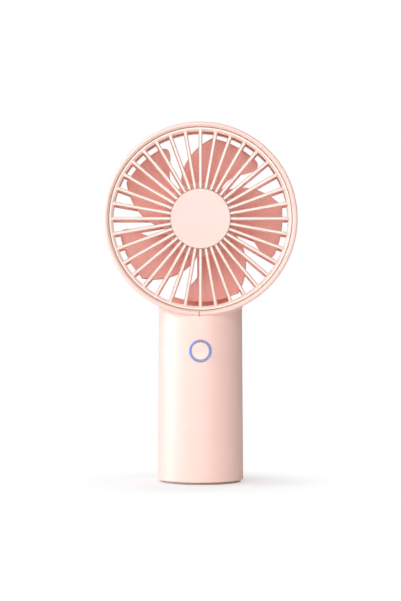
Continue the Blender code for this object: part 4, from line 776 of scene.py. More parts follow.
def neck_arc(angle, fillet, steps):
    """The top of the handle's side at one angle round it, as (radius, height) points.

    At the sides it curves out into the underside of the head, as wide as the head's depth leaves room
    for, and at the back, which passes behind the head, it curves in over the sloping shoulder.
    """
    side = abs(math.cos(angle))
    depth = math.sin(angle)
    wall = HANDLE_TOP_RADIUS
    if wall * depth > REAR_ROOM:
        lean = math.atan(1 / (SHOULDER_SLOPE * depth))
        corner = SHOULDER_TOP - SHOULDER_SLOPE * (wall * depth - REAR_ROOM)
        reach = SHOULDER_ROUND * math.tan(lean / 2)
        centre = (wall - SHOULDER_ROUND, corner - reach)
        turns = [lean * step / steps for step in range(steps + 1)]
        return [
            (centre[0] + SHOULDER_ROUND * math.cos(t), centre[1] + SHOULDER_ROUND * math.sin(t))
            for t in turns
        ]
    front_room = HEAD_FRONT - 0.0008
    room = fillet
    if depth > 0.01:
        room = (REAR_ROOM - 0.0012) / depth - wall
    if depth < -0.01:
        room = front_room / -depth - wall
    radius = max(0.00025, min(fillet, 0.85 * room))
    tangent = wall + radius * 0.5
    for _ in range(6):
        slope = tangent * side * side / math.sqrt(HEAD_RADIUS ** 2 - (tangent * side) ** 2)
        rise = math.atan(slope)
        tangent = wall + radius * (1 - math.sin(rise))
    level = head_underside(tangent * side) + 0.00002 - radius * math.cos(rise)
    start = math.pi
    end = math.pi / 2 + rise
    turns = [start + (end - start) * step / steps for step in range(steps + 1)]
    return [(wall + radius + radius * math.cos(t), level + radius * math.sin(t)) for t in turns]


def handle_solid(sizes):
    """The handle's outside: a flared tube whose top flows into the head, closed at both ends."""
    edge = sizes.foot_edge
    foot = rounded(
        [(FOOT_RADIUS - 2 * WALL, HANDLE_FOOT, 0), (FOOT_RADIUS, HANDLE_FOOT, edge), (FOOT_RADIUS, 0.01, 0)],
        segments=7, closed=False
    )[:-1]
    wall_rows = 14
    neck_rows = 10
    rows = len(foot) + wall_rows + neck_rows + 3
    bm = turned([(1.0, float(row)) for row in range(rows)], 200, closed=False)
    neck_low = HANDLE_LENGTH - NECK_LENGTH
    for corner in bm.verts:
        row = round(corner.co.z)
        angle = math.atan2(corner.co.y, corner.co.x)
        neck = neck_arc(angle, sizes.neck_fillet, neck_rows)
        if row < len(foot):
            radius, height = foot[row]
        elif row < len(foot) + wall_rows:
            height = foot[-1][1] + (neck_low - foot[-1][1]) * (row - len(foot) + 1) / wall_rows
            height = min(height, neck[0][1] - 0.0004)
            radius = handle_radius(height)
        elif row < rows - 2:
            radius, height = neck[row - len(foot) - wall_rows]
        elif row == rows - 2:
            radius, height = neck[-1]
            radius -= 0.0004
            height += 0.0006
        else:
            radius, height = neck[-1][0] - 0.0010, SHOULDER_TOP
        x = radius * math.cos(angle)
        y = radius * math.sin(angle)
        if row >= rows - 2 and y > REAR_ROOM:
            y = REAR_ROOM if row == rows - 1 else y
            height = SHOULDER_TOP - SHOULDER_SLOPE * (y - REAR_ROOM)
        corner.co = (x, y, height)
    ends = [edge for edge in bm.edges if edge.is_boundary]
    bmesh.ops.holes_fill(bm, edges=ends, sides=0)
    bmesh.ops.recalc_face_normals(bm, faces=bm.faces)
    return bm


def slot_outline(width, height, level):
    """A slot with round ends, as (x, z) points about the middle of the fan."""
    radius = height / 2
    reach = width / 2 - radius
    corners = [(reach, -1), (reach, 1), (-reach, 1), (-reach, -1)]
    ends = [(x + math.copysign(radius, x), side * radius, radius * 0.999) for x, side in corners]
    outline = rounded(ends, 8)
    return [(x, y + level) for x, y in outline]


def make_ring(rim):
    """The head: a short tube with a ledge for the front grille and a bead for the rear one."""
    inside = HEAD_RADIUS - WALL
    stop = REAR_RING_FRONT + FIT_GAP
    profile = rounded([
        (inside, -HEAD_BACK, 0.0003),
        (HEAD_RADIUS, -HEAD_BACK, REAR_RIM_EDGE),
        (HEAD_RADIUS, HEAD_FRONT, rim),
        (HEAD_RADIUS - RIM_FACE_WIDTH, HEAD_FRONT, 0.0006),
        (RING_OUTER + FIT_GAP, HEAD_FRONT - RIM_FALL, 0.0003),
        (RING_OUTER + FIT_GAP, RING_BACK - FIT_GAP, 0.0),
        (RING_OUTER - SEAT, RING_BACK - FIT_GAP, 0.0002),
        (RING_OUTER - SEAT, RING_BACK - SEAT, 0.0002),
        (inside, RING_BACK - SEAT, 0.0002),
        (inside, stop + STOP_HEIGHT, 0.0),
        (inside - STOP_WIDTH, stop + STOP_HEIGHT, 0.0002),
        (inside - STOP_WIDTH, stop, 0.0002),
        (inside, stop, 0.0),
    ], segments=6)
    return placed(turned(profile, ROUND_STEPS), head_frame())


def make_hollow():
    """The space inside the handle, closed at the top by the head's round wall."""
    wide = 2 * FOOT_RADIUS
    inside_foot = FOOT_RADIUS - WALL
    inside_top = HANDLE_TOP_RADIUS - WALL
    hollow = turned([(0, -WALL), (inside_foot, -WALL), (inside_foot, 0), (inside_top, HANDLE_LENGTH),
                     (inside_top, SHOULDER_TOP), (0, SHOULDER_TOP)], SMALL_STEPS, closed=False)
    roof_radius = HEAD_RADIUS + WALL
    roof_profile = [(0, -wide), (roof_radius, -wide), (roof_radius, wide), (0, wide)]
    roof = turned(roof_profile, SMALL_STEPS, closed=False)
    return combined(hollow, ("DIFFERENCE", placed(roof, head_frame())))


def make_port():
    """The hole for the charging socket, with a flared mouth."""
    width = SOCKET_HIGH.x - SOCKET_LOW.x + 2 * FIT_GAP
    height = SOCKET_HIGH.z - SOCKET_LOW.z + 2 * FIT_GAP
    mouth = [(x, SOCKET_LOW.y, z) for x, z in slot_outline(width, height, SOCKET_LEVEL)]
    port = extruded(mouth, (0, SOCKET_HIGH.y - SOCKET_WALL - SOCKET_LOW.y, 0))
    outer = max(port.faces, key=lambda face: face.calc_center_median().y)
    flared = bmesh.ops.extrude_face_region(port, geom=[outer])
    far = [item for item in flared["geom"] if isinstance(item, bmesh.types.BMVert)]
    bmesh.ops.delete(port, geom=[outer], context="FACES_ONLY")
    bmesh.ops.translate(port, vec=(0, PORT_MOUTH, 0), verts=far)
    bmesh.ops.scale(port, vec=PORT_FLARE, verts=far, space=Matrix.Translation((0, 0, -SOCKET_LEVEL)))
    bmesh.ops.recalc_face_normals(port, faces=port.faces)
    return port


def make_shell(sizes, colours):
    """The head's ring and the handle, joined, hollowed and cut for what they hold."""
    wide = 2 * FOOT_RADIUS
    well = turned([(0, -HEAD_BACK - FIT_GAP), (HEAD_RADIUS - WALL / 2, -HEAD_BACK - FIT_GAP),
                   (HEAD_RADIUS - WALL / 2, wide), (0, wide)], ROUND_STEPS, closed=False)
    handle = combined(handle_solid(sizes), ("DIFFERENCE", placed(well, head_frame())))

    crown = handle_radius(BUTTON_HEIGHT)
    button_hole = turned([(0, -crown - WALL), (LIGHT_RADIUS + FIT_GAP / 2, -crown - WALL),
                          (LIGHT_RADIUS + FIT_GAP / 2, -crown / 2), (0, -crown / 2)],
                          SMALL_STEPS, closed=False)
    low = HANDLE_LENGTH - 2 * WALL
    high = HANDLE_LENGTH + 2 * WALL
    lead_profile = [(0, low), (LEAD_HOLE_RADIUS, low), (LEAD_HOLE_RADIUS, high), (0, high)]
    lead_hole = turned(lead_profile, 24, closed=False)
    lead_y = -(REAR_RIB_BACK + REAR_RIB_DEPTH + LEAD_CHANNEL)
    mark_low = HEAD_HEIGHT - HEAD_RADIUS - 0.0005
    mark = box_between((MARK_LEFT, -HEAD_FRONT - WALL / 2, mark_low),
                       (MARK_RIGHT, -HEAD_FRONT + MARK_DEPTH, mark_low + MARK_LENGTH))
    shell = combined(
        make_ring(sizes.rim_edge),
        ("UNION", handle),
        ("DIFFERENCE", make_hollow()),
        ("DIFFERENCE", placed(button_hole, inward_frame(BUTTON_HEIGHT))),
        ("DIFFERENCE", make_port()),
        ("DIFFERENCE", placed(lead_hole, Matrix.Translation((0, lead_y, 0)))),
        ("DIFFERENCE", mark),
    )
    finish = satin_moulded_abs("satin_moulded_abs_shell", colours.shell)
    finish_piece(shell, "shell_moulding", finish, "body", ["main_body"])


# ---------------------------------------------------------------- grilles
def tapered_rib(side, root_width, face_width, face_side, edge):
    """A rib along +Y from its side view, narrower at the face than at the root, with soft edges."""
    bm = extruded([(-root_width / 2, radius, height) for radius, height in side], (root_width, 0, 0))
    heights = [height for _, height in side]
    root = min(heights) if face_side > 0 else max(heights)
    depth = max(heights) - min(heights)
    for corner in bm.verts:
        share = abs(corner.co.z - root) / depth
        corner.co.x *= 1 + (face_width / root_width - 1) * share
    long_edges = []
    for candidate in bm.edges:
        ends = [corner.co for corner in candidate.verts]
        beyond = [abs(end.z - root) > depth * 0.35 for end in ends]
        along = abs(ends[0].y - ends[1].y) > face_width / 2
        if all(beyond) and along:
            long_edges.append(candidate)
    round_edges(bm, long_edges, edge, 3)
    bmesh.ops.recalc_face_normals(bm, faces=bm.faces)
    return bm


def make_front_grille(sizes, colours):
    """The ring, the ribs and the plate that carries the cap, then the cap."""
    ring_inner = RING_OUTER - RING_WIDTH
    ring_face = RIB_FACE - RING_SET_BACK
    section = rounded([
        (ring_inner, RING_BACK, 0.0002),
        (RING_OUTER, RING_BACK, 0.0002),
        (RING_OUTER, ring_face, 0.00030),
        (ring_inner + RING_BEVEL, ring_face, 0.00025),
        (ring_inner, ring_face - RING_BEVEL, 0.00030),
    ], segments=4)
    ring = turned(section, ROUND_STEPS)
    rib_back = RIB_FACE - RIB_DEPTH
    rib_end = (ring_inner + RING_OUTER) / 2
    rib_start = CAP_RADIUS + FIT_GAP
    rib_root = CAP_RADIUS - RIB_ROOT_SET_IN
    plate_face = CAP_FACE - CAP_THICKNESS - FIT_GAP
    side = [
        (rib_root, rib_back),
        (rib_end, rib_back),
        (rib_end, ring_face - 0.0004),
        (rib_end - RIB_BEND, RIB_FACE),
        (rib_start, RIB_FACE),
        (rib_start, plate_face - 0.0001),
        (rib_root, plate_face - 0.0001),
    ]
    rib = tapered_rib(side, sizes.rib_root, sizes.rib_face, 1, sizes.rib_edge)
    ribs = repeat_round(rib, evenly(RIB_COUNT))
    stem_hole = STEM_RADIUS + FIT_GAP
    plate_back = plate_face - PLATE_THICKNESS
    plate = turned(rounded([
        (stem_hole, plate_back, 0.0),
        (CAP_RADIUS - PLATE_SET_IN, plate_back, 0.0002),
        (CAP_RADIUS - PLATE_SET_IN, plate_face, 0.0002),
        (stem_hole, plate_face, 0.0),
    ], 3), SMALL_STEPS)
    grille = combined(plate, ("UNION", ribs), ("UNION", ring))
    finish = satin_moulded_abs("satin_moulded_abs_grille", colours.grille, roughness=(0.28, 0.34))
    finish_piece(placed(grille, head_frame()), "front_grille_moulding", finish, "body",
                 ["front_grille"])

    cap_back = CAP_FACE - CAP_THICKNESS
    cap = turned(rounded([
        (0, CAP_STEM_END, 0),
        (STEM_RADIUS, CAP_STEM_END, 0.0003),
        (STEM_RADIUS, cap_back, 0.0),
        (CAP_RADIUS, cap_back, 0.0002),
        (CAP_RADIUS, CAP_FACE, CAP_EDGE),
        (CAP_RADIUS - CAP_BORDER, CAP_FACE, 0.0),
        (0, CAP_FACE, 0),
    ], 6, closed=False), ROUND_STEPS // 2, closed=False)
    # painted shade: the cap's colour is darkened against the front light on its flat face
    finish = satin_moulded_abs("satin_moulded_abs_cap_painted_shade", colours.cap, roughness=(0.30, 0.36))
    finish_piece(placed(cap, head_frame()), "front_cap_moulding", finish, "body",
                 ["front_hub_cap"])


def make_rear_grille(sizes, colours):
    """The ring, the ribs and the hub that carries the motor, with the lead's channel, then the cap."""
    section = rounded([
        (REAR_RING_INNER, REAR_BACK, 0.0003),
        (REAR_RING_OUTER, REAR_BACK, 0.0008),
        (REAR_RING_OUTER, REAR_RING_FRONT, 0.0002),
        (REAR_RING_INNER, REAR_RING_FRONT, 0.0002),
    ], 4)
    ring = turned(section, ROUND_STEPS)
    rib_end = (REAR_RING_INNER + REAR_RING_OUTER) / 2
    rib_front = REAR_RIB_BACK + REAR_RIB_DEPTH
    rib_root = REAR_HUB_RADIUS - REAR_RIB_SET_IN
    side = [(rib_root, REAR_RIB_BACK), (rib_end, REAR_RIB_BACK), (rib_end, rib_front), (rib_root, rib_front)]
    rib = tapered_rib(side, REAR_RIB_ROOT, REAR_RIB_FACE, -1, sizes.rear_rib_edge)
    ribs = repeat_round(rib, evenly(RIB_COUNT))
    hub_front = REAR_HUB_BACK + REAR_HUB_THICKNESS
    hub = turned(rounded([
        (0, REAR_HUB_BACK, 0),
        (REAR_HUB_RADIUS, REAR_HUB_BACK, 0.0005),
        (REAR_HUB_RADIUS, hub_front, 0.0005),
        (0, hub_front, 0),
    ], 4, closed=False), ROUND_STEPS // 2, closed=False)

    first = -90 - TONGUE_HALF_ANGLE
    pitch = 2 * TONGUE_HALF_ANGLE / TONGUE_STEPS
    spread = [math.radians(first + pitch * step) for step in range(TONGUE_STEPS + 1)]
    outer = rib_end - 0.0002
    low = REAR_RIB_BACK + 0.0002
    outline = [(outer * math.cos(a), outer * math.sin(a), low) for a in spread]
    outline += [(TONGUE_INNER * math.cos(a), TONGUE_INNER * math.sin(a), low) for a in reversed(spread)]
    tongue = extruded(outline, (0, 0, REAR_RIB_DEPTH - 0.0004))

    half = LEAD_CHANNEL + CHANNEL_WALL
    channel = box_between((-half, -TONGUE_INNER - 0.0010, rib_front - 0.0005),
                          (half, -REAR_HUB_RADIUS + 0.0012, rib_front + CHANNEL_DEPTH))
    groove = box_between((-LEAD_CHANNEL, -HEAD_RADIUS, rib_front + 0.0001),
                         (LEAD_CHANNEL, -REAR_HUB_RADIUS + 0.0030, rib_front + 2 * CHANNEL_DEPTH))
    steps = [("UNION", ribs), ("UNION", ring), ("UNION", tongue), ("UNION", channel), ("DIFFERENCE", groove)]
    floor = hub_front - 0.0005
    pilot_end = floor + 0.0015
    for screw in MOTOR_SCREWS:
        boss = turned([(0, floor), (BOSS_RADIUS, floor), (BOSS_RADIUS, BOSS_FRONT),
                       (PILOT_RADIUS, BOSS_FRONT),
                       (PILOT_RADIUS, pilot_end), (0, pilot_end)], 40, closed=False)
        steps.append(("UNION", placed(boss, Matrix.Translation((screw.x, screw.z - HEAD_HEIGHT, 0)))))
    hole = STEM_RADIUS + FIT_GAP
    stem_hole = turned([(0, 2 * REAR_BACK), (hole, 2 * REAR_BACK), (hole, 0), (0, 0)], 48, closed=False)
    steps.append(("DIFFERENCE", stem_hole))
    grille = combined(hub, *steps)
    # painted light: the rear grille's colour, also used for the rear cap, is brightened and reddened to
    # stand in for the coral bounce light inside the head
    finish = satin_moulded_abs("satin_moulded_abs_rear_painted_bounce", colours.rear, roughness=(0.32, 0.40))
    finish_piece(placed(grille, head_frame()), "rear_grille_moulding", finish, "body",
                 ["rear_grille"])

    face = REAR_HUB_BACK - FIT_GAP
    recess = REAR_CAP_BACK + REAR_CAP_RECESS
    cap = turned(rounded([
        (0, recess, 0),
        (REAR_CAP_RADIUS - REAR_CAP_RIM - REAR_CAP_RECESS, recess, 0.0004),
        (REAR_CAP_RADIUS - REAR_CAP_RIM + 0.0003, REAR_CAP_BACK, 0.0004),
        (REAR_CAP_RADIUS, REAR_CAP_BACK, 0.0007),
        (REAR_CAP_RADIUS, face, 0.0002),
        (STEM_RADIUS, face, 0.0),
        (STEM_RADIUS, REAR_CAP_STEM_END, 0.0003),
        (0, REAR_CAP_STEM_END, 0),
    ], 6, closed=False), ROUND_STEPS // 2, closed=False)
    finish_piece(placed(cap, head_frame()), "rear_cap_moulding", finish, "body", ["rear_hub_cap"])


# ---------------------------------------------------------------- impeller
def smooth_step(value):
    """From 0 to 1 with level ends."""
    value = min(max(value, 0.0), 1.0)
    return value * value * (3 - 2 * value)


def blade_edges(span):
    """Angles of a blade's trailing and leading edge at a share of the span, in degrees."""
    trailing = TRAILING_ROOT + TRAILING_SWEEP * span + TRAILING_CURL * span * span
    leading = LEADING_ROOT + LEADING_SWEEP * smooth_step((span - 0.15) / 0.70)
    past = max(0.0, (span - TIP_ROUND_START) / (1 - TIP_ROUND_START))
    leading -= TIP_ROUND * (1 - math.sqrt(max(0.0, 1 - past * past)))
    return trailing, leading


def blade_point(span, across):
    """A point of a blade's middle surface, from its trailing edge (0) to its leading edge (1)."""
    root = HUB_RADIUS - HUB_WALL / 2
    radius = root + (BLADE_TIP - root) * span
    trailing, leading = blade_edges(span)
    angle = math.radians(trailing + (leading - trailing) * across)
    ahead = TRAILING_HEIGHT - TRAILING_FALL * span
    behind = LEADING_HEIGHT + LEADING_RISE * span
    camber = BLADE_CAMBER * math.sin(math.pi * across)
    return radius * math.sin(angle), radius * math.cos(angle), ahead + (behind - ahead) * across - camber


def make_impeller(sizes, colours):
    """The hub, with the ring inside it that grips the rotor, and the blades round it."""
    face_back = HUB_FRONT - HUB_FACE
    hub = turned(rounded([
        (0, HUB_FRONT, 0),
        (HUB_RADIUS, HUB_FRONT, 0.0012),
        (HUB_RADIUS, HUB_BACK, 0.0003),
        (HUB_RADIUS - HUB_WALL, HUB_BACK, 0.0003),
        (HUB_RADIUS - HUB_WALL, face_back, 0.0),
        (GRIP_OUTER, face_back, 0.0),
        (GRIP_OUTER, face_back - GRIP_DEPTH, 0.0002),
        (GRIP_INNER, face_back - GRIP_DEPTH, 0.0002),
        (GRIP_INNER, face_back, 0.0),
        (BORE_BOSS_RADIUS, face_back, 0.0),
        (BORE_BOSS_RADIUS, face_back - BORE_BOSS_DEPTH, 0.0),
        (BORE_RADIUS, face_back - BORE_BOSS_DEPTH, 0.0),
        (BORE_RADIUS, HUB_FRONT - BORE_END, 0.0),
        (0, HUB_FRONT - BORE_END, 0),
    ], 8, closed=False), ROUND_STEPS // 2, closed=False)
    blade = bmesh.new()
    bmesh.ops.create_grid(blade, x_segments=sizes.blade_rows, y_segments=sizes.blade_columns, size=0.5)
    for corner in blade.verts:
        span = math.sin(math.pi / 2 * (corner.co.x + 0.5))
        corner.co = blade_point(span, corner.co.y + 0.5)
    bmesh.ops.recalc_face_normals(blade, faces=blade.faces)
    bmesh.ops.solidify(blade, geom=list(blade.faces), thickness=sizes.blade_thickness)
    edges = [edge for edge in blade.edges if len(edge.link_faces) == 2 and edge.calc_face_angle(0.0) > 1.0]
    round_edges(blade, edges, sizes.blade_thickness * 0.42, 3)
    repeat_round(blade, evenly(BLADE_COUNT))
    impeller = combined(hub, ("UNION", blade))
    finish = moulded_impeller_abs("moulded_abs_impeller", colours.impeller)
    finish_piece(placed(impeller, head_frame()), "impeller_moulding", finish, "rotor",
                 ["impeller"])


# ---------------------------------------------------------------- button
def follow_handle(bm, depth_limit):
    """Bend the front of a piece in the handle's wall to the handle's round, flared surface."""
    radius = handle_radius(BUTTON_HEIGHT)
    flare = (FOOT_RADIUS - HANDLE_TOP_RADIUS) / HANDLE_LENGTH
    for corner in bm.verts:
        if corner.co.z < depth_limit:
            corner.co.z += radius - math.sqrt(radius ** 2 - corner.co.x ** 2) - corner.co.y * flare


def make_button(colours):
    """The slightly dished button with its flange, and the light ring that it slides in."""
    crown = -handle_radius(BUTTON_HEIGHT)
    step = crown + BUTTON_STEP
    face = crown + BUTTON_SET_IN
    shares = (0, 0.25, 0.5, 0.75, 0.88)
    dish = [(BUTTON_RADIUS * share, face + BUTTON_DISH * (1 - share * share), 0) for share in shares]
    profile = rounded(dish + [
        (BUTTON_RADIUS, face, BUTTON_EDGE),
        (BUTTON_RADIUS, step, 0.0),
        (BUTTON_FLANGE_RADIUS, step, 0.0001),
        (BUTTON_FLANGE_RADIUS, BUTTON_BACK, 0.0001),
        (0, BUTTON_BACK, 0),
    ], 5, closed=False)
    button = turned(profile, SMALL_STEPS, closed=False)
    follow_handle(button, crown + BUTTON_STEP / 2)
    finish = satin_moulded_abs("satin_moulded_abs_button", colours.shell, roughness=(0.28, 0.34))
    finish_piece(placed(button, inward_frame(BUTTON_HEIGHT)), "button_moulding", finish, "button",
                 ["power_button"])

    collar_back = step - FIT_GAP
    collar_front = collar_back - COLLAR_THICKNESS
    light = turned(rounded([
        (LIGHT_BORE, crown, LIGHT_EDGE),
        (LIGHT_RADIUS, crown, LIGHT_EDGE),
        (LIGHT_RADIUS, collar_front, 0.0),
        (LIGHT_COLLAR_RADIUS, collar_front, 0.0001),
        (LIGHT_COLLAR_RADIUS, LIGHT_BACK, 0.0001),
        (LIGHT_BORE + COLLAR_STEP, LIGHT_BACK, 0.0),
        (LIGHT_BORE + COLLAR_STEP, collar_back, 0.0),
        (LIGHT_BORE, collar_back, 0.0),
    ], 4), SMALL_STEPS)
    follow_handle(light, crown + BUTTON_STEP / 2)
    finish = lit_polycarbonate("lit_polycarbonate_ring", tuple(colours.light), tuple(colours.light_dim))
    finish_piece(placed(light, inward_frame(BUTTON_HEIGHT)), "light_ring_moulding", finish, "body",
                 ["light_ring"])


# ---------------------------------------------------------------- foot and socket
def make_foot(colours):
    """The cap that closes the handle, with its sunk screws, and the treaded pad under it."""
    pad_radius = PAD_HIGH.x
    pad_top = PAD_HIGH.z
    low = FOOT_CAP_LOW.z
    ledge = low + FOOT_FLANGE_THICKNESS
    flange_radius = FOOT_RADIUS - FOOT_FLANGE_SET_IN
    plug_radius = FOOT_CAP_HIGH.x - FOOT_PLUG_WALL
    pocket = pad_top + FIT_GAP
    profile = rounded([
        (0, pocket, 0),
        (pad_radius + FIT_GAP, pocket, 0.0),
        (pad_radius + FIT_GAP, low, 0.0002),
        (flange_radius, low, 0.0003),
        (flange_radius, ledge, 0.0002),
        (plug_radius, ledge, 0.0),
        (plug_radius, FOOT_CAP_HIGH.z, 0.0002),
        (0, FOOT_CAP_HIGH.z, 0),
    ], 4, closed=False)
    steps = []
    seat = pocket + FOOT_PLATE + 2 * FIT_GAP
    deep = FOOT_CAP_HIGH.z + WALL
    for screw in FOOT_SCREWS:
        sink = turned([(0, -deep), (FOOT_SINK_RADIUS, -deep), (FOOT_SINK_RADIUS, seat), (PILOT_RADIUS, seat),
                       (PILOT_RADIUS, deep), (0, deep)], 40, closed=False)
        steps.append(("DIFFERENCE", placed(sink, Matrix.Translation((screw.x, screw.y, 0)))))
    cap = combined(turned(profile, ROUND_STEPS // 2, closed=False), *steps)
    # painted shade: the foot cap takes a dark warm grey, which draws the shaded line under the handle
    finish = satin_moulded_abs("satin_moulded_abs_foot_painted_shade", colours.foot, roughness=(0.34, 0.42))
    finish_piece(cap, "foot_cap_moulding", finish, "body", ["foot_cap"])

    treads = []
    for number in range(1, TREAD_COUNT + 1):
        radius = pad_radius * number / (TREAD_COUNT + 1)
        for offset, depth in ((-0.0005, 0.0), (-0.0003, TREAD_DEPTH), (0.0003, TREAD_DEPTH), (0.0005, 0.0)):
            treads.append((radius + offset, depth, 0.00008))
    edge = [(pad_radius, 0.0, 0.0003), (pad_radius, pad_top, 0.0001), (0, pad_top, 0)]
    profile = rounded([(0, 0.0, 0)] + treads + edge, 3, closed=False)
    pad = turned(profile, ROUND_STEPS // 2, closed=False)
    rubber = moulded_silicone("moulded_silicone_pad", colours.pad)
    finish_piece(pad, "foot_pad_moulding", rubber, "body", ["foot_pad"])


def make_socket():
    """The drawn shell of the charging socket, its tongue and the contacts on both sides of it."""
    width = SOCKET_HIGH.x - SOCKET_LOW.x
    height = SOCKET_HIGH.z - SOCKET_LOW.z
    back = SOCKET_LOW.y
    depth = SOCKET_HIGH.y - back
    outside = extruded([(x, back, z) for x, z in slot_outline(width, height, SOCKET_LEVEL)], (0, depth, 0))
    lip = [edge for edge in outside.edges if all(corner.co.y > back + depth / 2 for corner in edge.verts)]
    round_edges(outside, lip, 0.00015, 2)
    floor = back + SOCKET_FLOOR
    inner = slot_outline(width - 2 * SOCKET_WALL, height - 2 * SOCKET_WALL, SOCKET_LEVEL)
    inside = extruded([(x, floor, z) for x, z in inner], (0, depth, 0))
    shell = combined(outside, ("DIFFERENCE", inside))
    steel = plated_steel("drawn_nickel_plated_steel", "C9CACB", "A9ABAD", (0.20, 0.32))
    finish_piece(shell, "socket_shell", steel, "body", ["usb_socket"])

    reach = floor + SOCKET_TONGUE_LENGTH
    tongue = box_between(
        (-SOCKET_TONGUE_HALF_WIDTH, floor - 0.0002, SOCKET_LEVEL - SOCKET_TONGUE_HALF_HEIGHT),
        (SOCKET_TONGUE_HALF_WIDTH, reach, SOCKET_LEVEL + SOCKET_TONGUE_HALF_HEIGHT), 0.00012
    )
    nylon = moulded_nylon("moulded_black_nylon_tongue", "2C2C2F", "222225")
    finish_piece(tongue, "socket_tongue", nylon, "body")
    contacts = bmesh.new()
    for number in range(CONTACT_COUNT):
        x = (number - (CONTACT_COUNT - 1) / 2) * CONTACT_PITCH
        for side in (-1, 1):
            level = SOCKET_LEVEL + side * SOCKET_TONGUE_HALF_HEIGHT
            strip = box_between(
                (x - CONTACT_HALF_WIDTH, floor + 0.0002, level - CONTACT_HALF_HEIGHT),
                (x + CONTACT_HALF_WIDTH, reach - 0.0006, level + CONTACT_HALF_HEIGHT)
            )
            mesh = bpy.data.meshes.new("strip")
            strip.to_mesh(mesh)
            strip.free()
            contacts.from_mesh(mesh)
            bpy.data.meshes.remove(mesh)
    gold = gold_flashed_contact("gold_flashed_contact")
    finish_piece(contacts, "socket_contacts", gold, "body")


# ---------------------------------------------------------------- finishes of the inside pieces
def finish_inside():
    """Give every carried-over node its finish."""
    screw = plated_steel("zinc_plated_screw", "B9BDC1", "979BA0")
    board = solder_masked_laminate("solder_masked_board")
    copper = enamelled_copper_wire("enamelled_copper_winding")
    film = shrunk_film("shrunk_pvc_cell_film")
    nickel = plated_steel("rolled_nickel_strip", "C2BFB6", "A5A29A", (0.26, 0.40))
    bronze = sintered_metal("sintered_bronze_bush", "A9804F", "7F5C34", 1.0)
    ferrite = sintered_metal("sintered_ferrite", "3C3C40", "2A2A2D", 0.0)
    black_nylon = moulded_nylon("moulded_black_nylon", "2B2B2F", "202023")
    finishes = {
        "motor_shaft": ground_steel("ground_steel_shaft"),
        "rotor_bell": plated_steel("zinc_plated_bell", "BDC1C6", "9DA2A7"),
        "magnet_ring": ferrite,
        "boost_inductor": ferrite,
        "shaft_clip": plated_steel("blued_spring_steel", "6F757D", "4E535A", (0.28, 0.40)),
        "bearing_tube": turned_brass("turned_brass_tube"),
        "front_bush": bronze,
        "rear_bush": bronze,
        "stator_core": stacked_electrical_steel("stacked_electrical_steel"),
        "motor_plate": black_nylon,
        "switch_body": black_nylon,
        "motor_board": board,
        "main_board": board,
        "usb_board": board,
        "switch_plunger": moulded_nylon("moulded_white_nylon", "EAE6DC", "DDD8CC"),
        "battery_cradle": moulded_nylon("moulded_natural_nylon", "E9E5DA", "D9D4C7"),
        "control_chip": moulded_epoxy("moulded_epoxy_chip", "27272A", "1A1A1D"),
        "cell_left": film,
        "cell_right": film,
        "cell_link": nickel,
        "tab_left": nickel,
        "tab_right": nickel,
        "motor_lead": extruded_sleeve("extruded_grey_sleeve", "DCD7CF", "C9C3BA"),
        "battery_lead_black": extruded_sleeve("extruded_black_sleeve", "232326", "19191B"),
        "battery_lead_red": extruded_sleeve("extruded_red_sleeve", "BE2A20", "9F2018"),
    }
    finishes["charge_lead_black"] = finishes["battery_lead_black"]
    finishes["charge_lead_red"] = finishes["battery_lead_red"]
    lens = moulded_nylon("moulded_lamp_lens", "EFEBD8", "E2DDC6", (0.22, 0.32))
    for node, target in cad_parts.items():
        if node.startswith("winding_"):
            finishes[node] = copper
        elif "_screw_" in node:
            finishes[node] = screw
        elif node.startswith("led_"):
            finishes[node] = lens
        if node in finishes:
            target.data.materials.clear()
            target.data.materials.append(finishes[node])


# ---------------------------------------------------------------- studio
def make_floor(colours):
    """A wide pale floor that fades into the white surround a little way from the fan, where it is seen."""
    bm = bmesh.new()
    bmesh.ops.create_circle(bm, cap_ends=True, radius=FLOOR_RADIUS, segments=SMALL_STEPS)
    mesh = bpy.data.meshes.new("floor")
    bm.to_mesh(mesh)
    bm.free()
    floor = bpy.data.objects.new("floor", mesh)
    bpy.context.scene.collection.objects.link(floor)
    made = bpy.data.materials.new("matt_studio_paper")
    made.use_nodes = True
    tree = made.node_tree
    shader = tree.nodes["Principled BSDF"]
    shader.inputs["Base Color"].default_value = (*colours.floor, 1.0)
    shader.inputs["Roughness"].default_value = 0.9
    shader.inputs["Specular IOR Level"].default_value = 0.1
    place = add(tree, "ShaderNodeTexCoord").outputs["Object"]
    away = add(tree, "ShaderNodeVectorMath", links={"Vector": place}, operation="LENGTH")
    fade = add(
        tree, "ShaderNodeMapRange",
        {"From Min": FADE_START, "From Max": FADE_END, "To Min": 0.45, "To Max": 1.0},
        {"Value": away.outputs["Value"]}, interpolation_type="SMOOTHSTEP"
    )
    path = add(tree, "ShaderNodeLightPath")
    seen = add(tree, "ShaderNodeMath", operation="MULTIPLY")
    tree.links.new(fade.outputs["Result"], seen.inputs[0])
    tree.links.new(path.outputs["Is Camera Ray"], seen.inputs[1])
    glow = add(tree, "ShaderNodeEmission", {"Color": (1.0, 1.0, 1.0, 1.0), "Strength": 1.0})
    mix = add(tree, "ShaderNodeMixShader", links={"Fac": seen.outputs["Value"]})
    tree.links.new(shader.outputs["BSDF"], mix.inputs[1])
    tree.links.new(glow.outputs["Emission"], mix.inputs[2])
    tree.links.new(mix.outputs["Shader"], tree.nodes["Material Output"].inputs["Surface"])
    floor.data.materials.append(made)


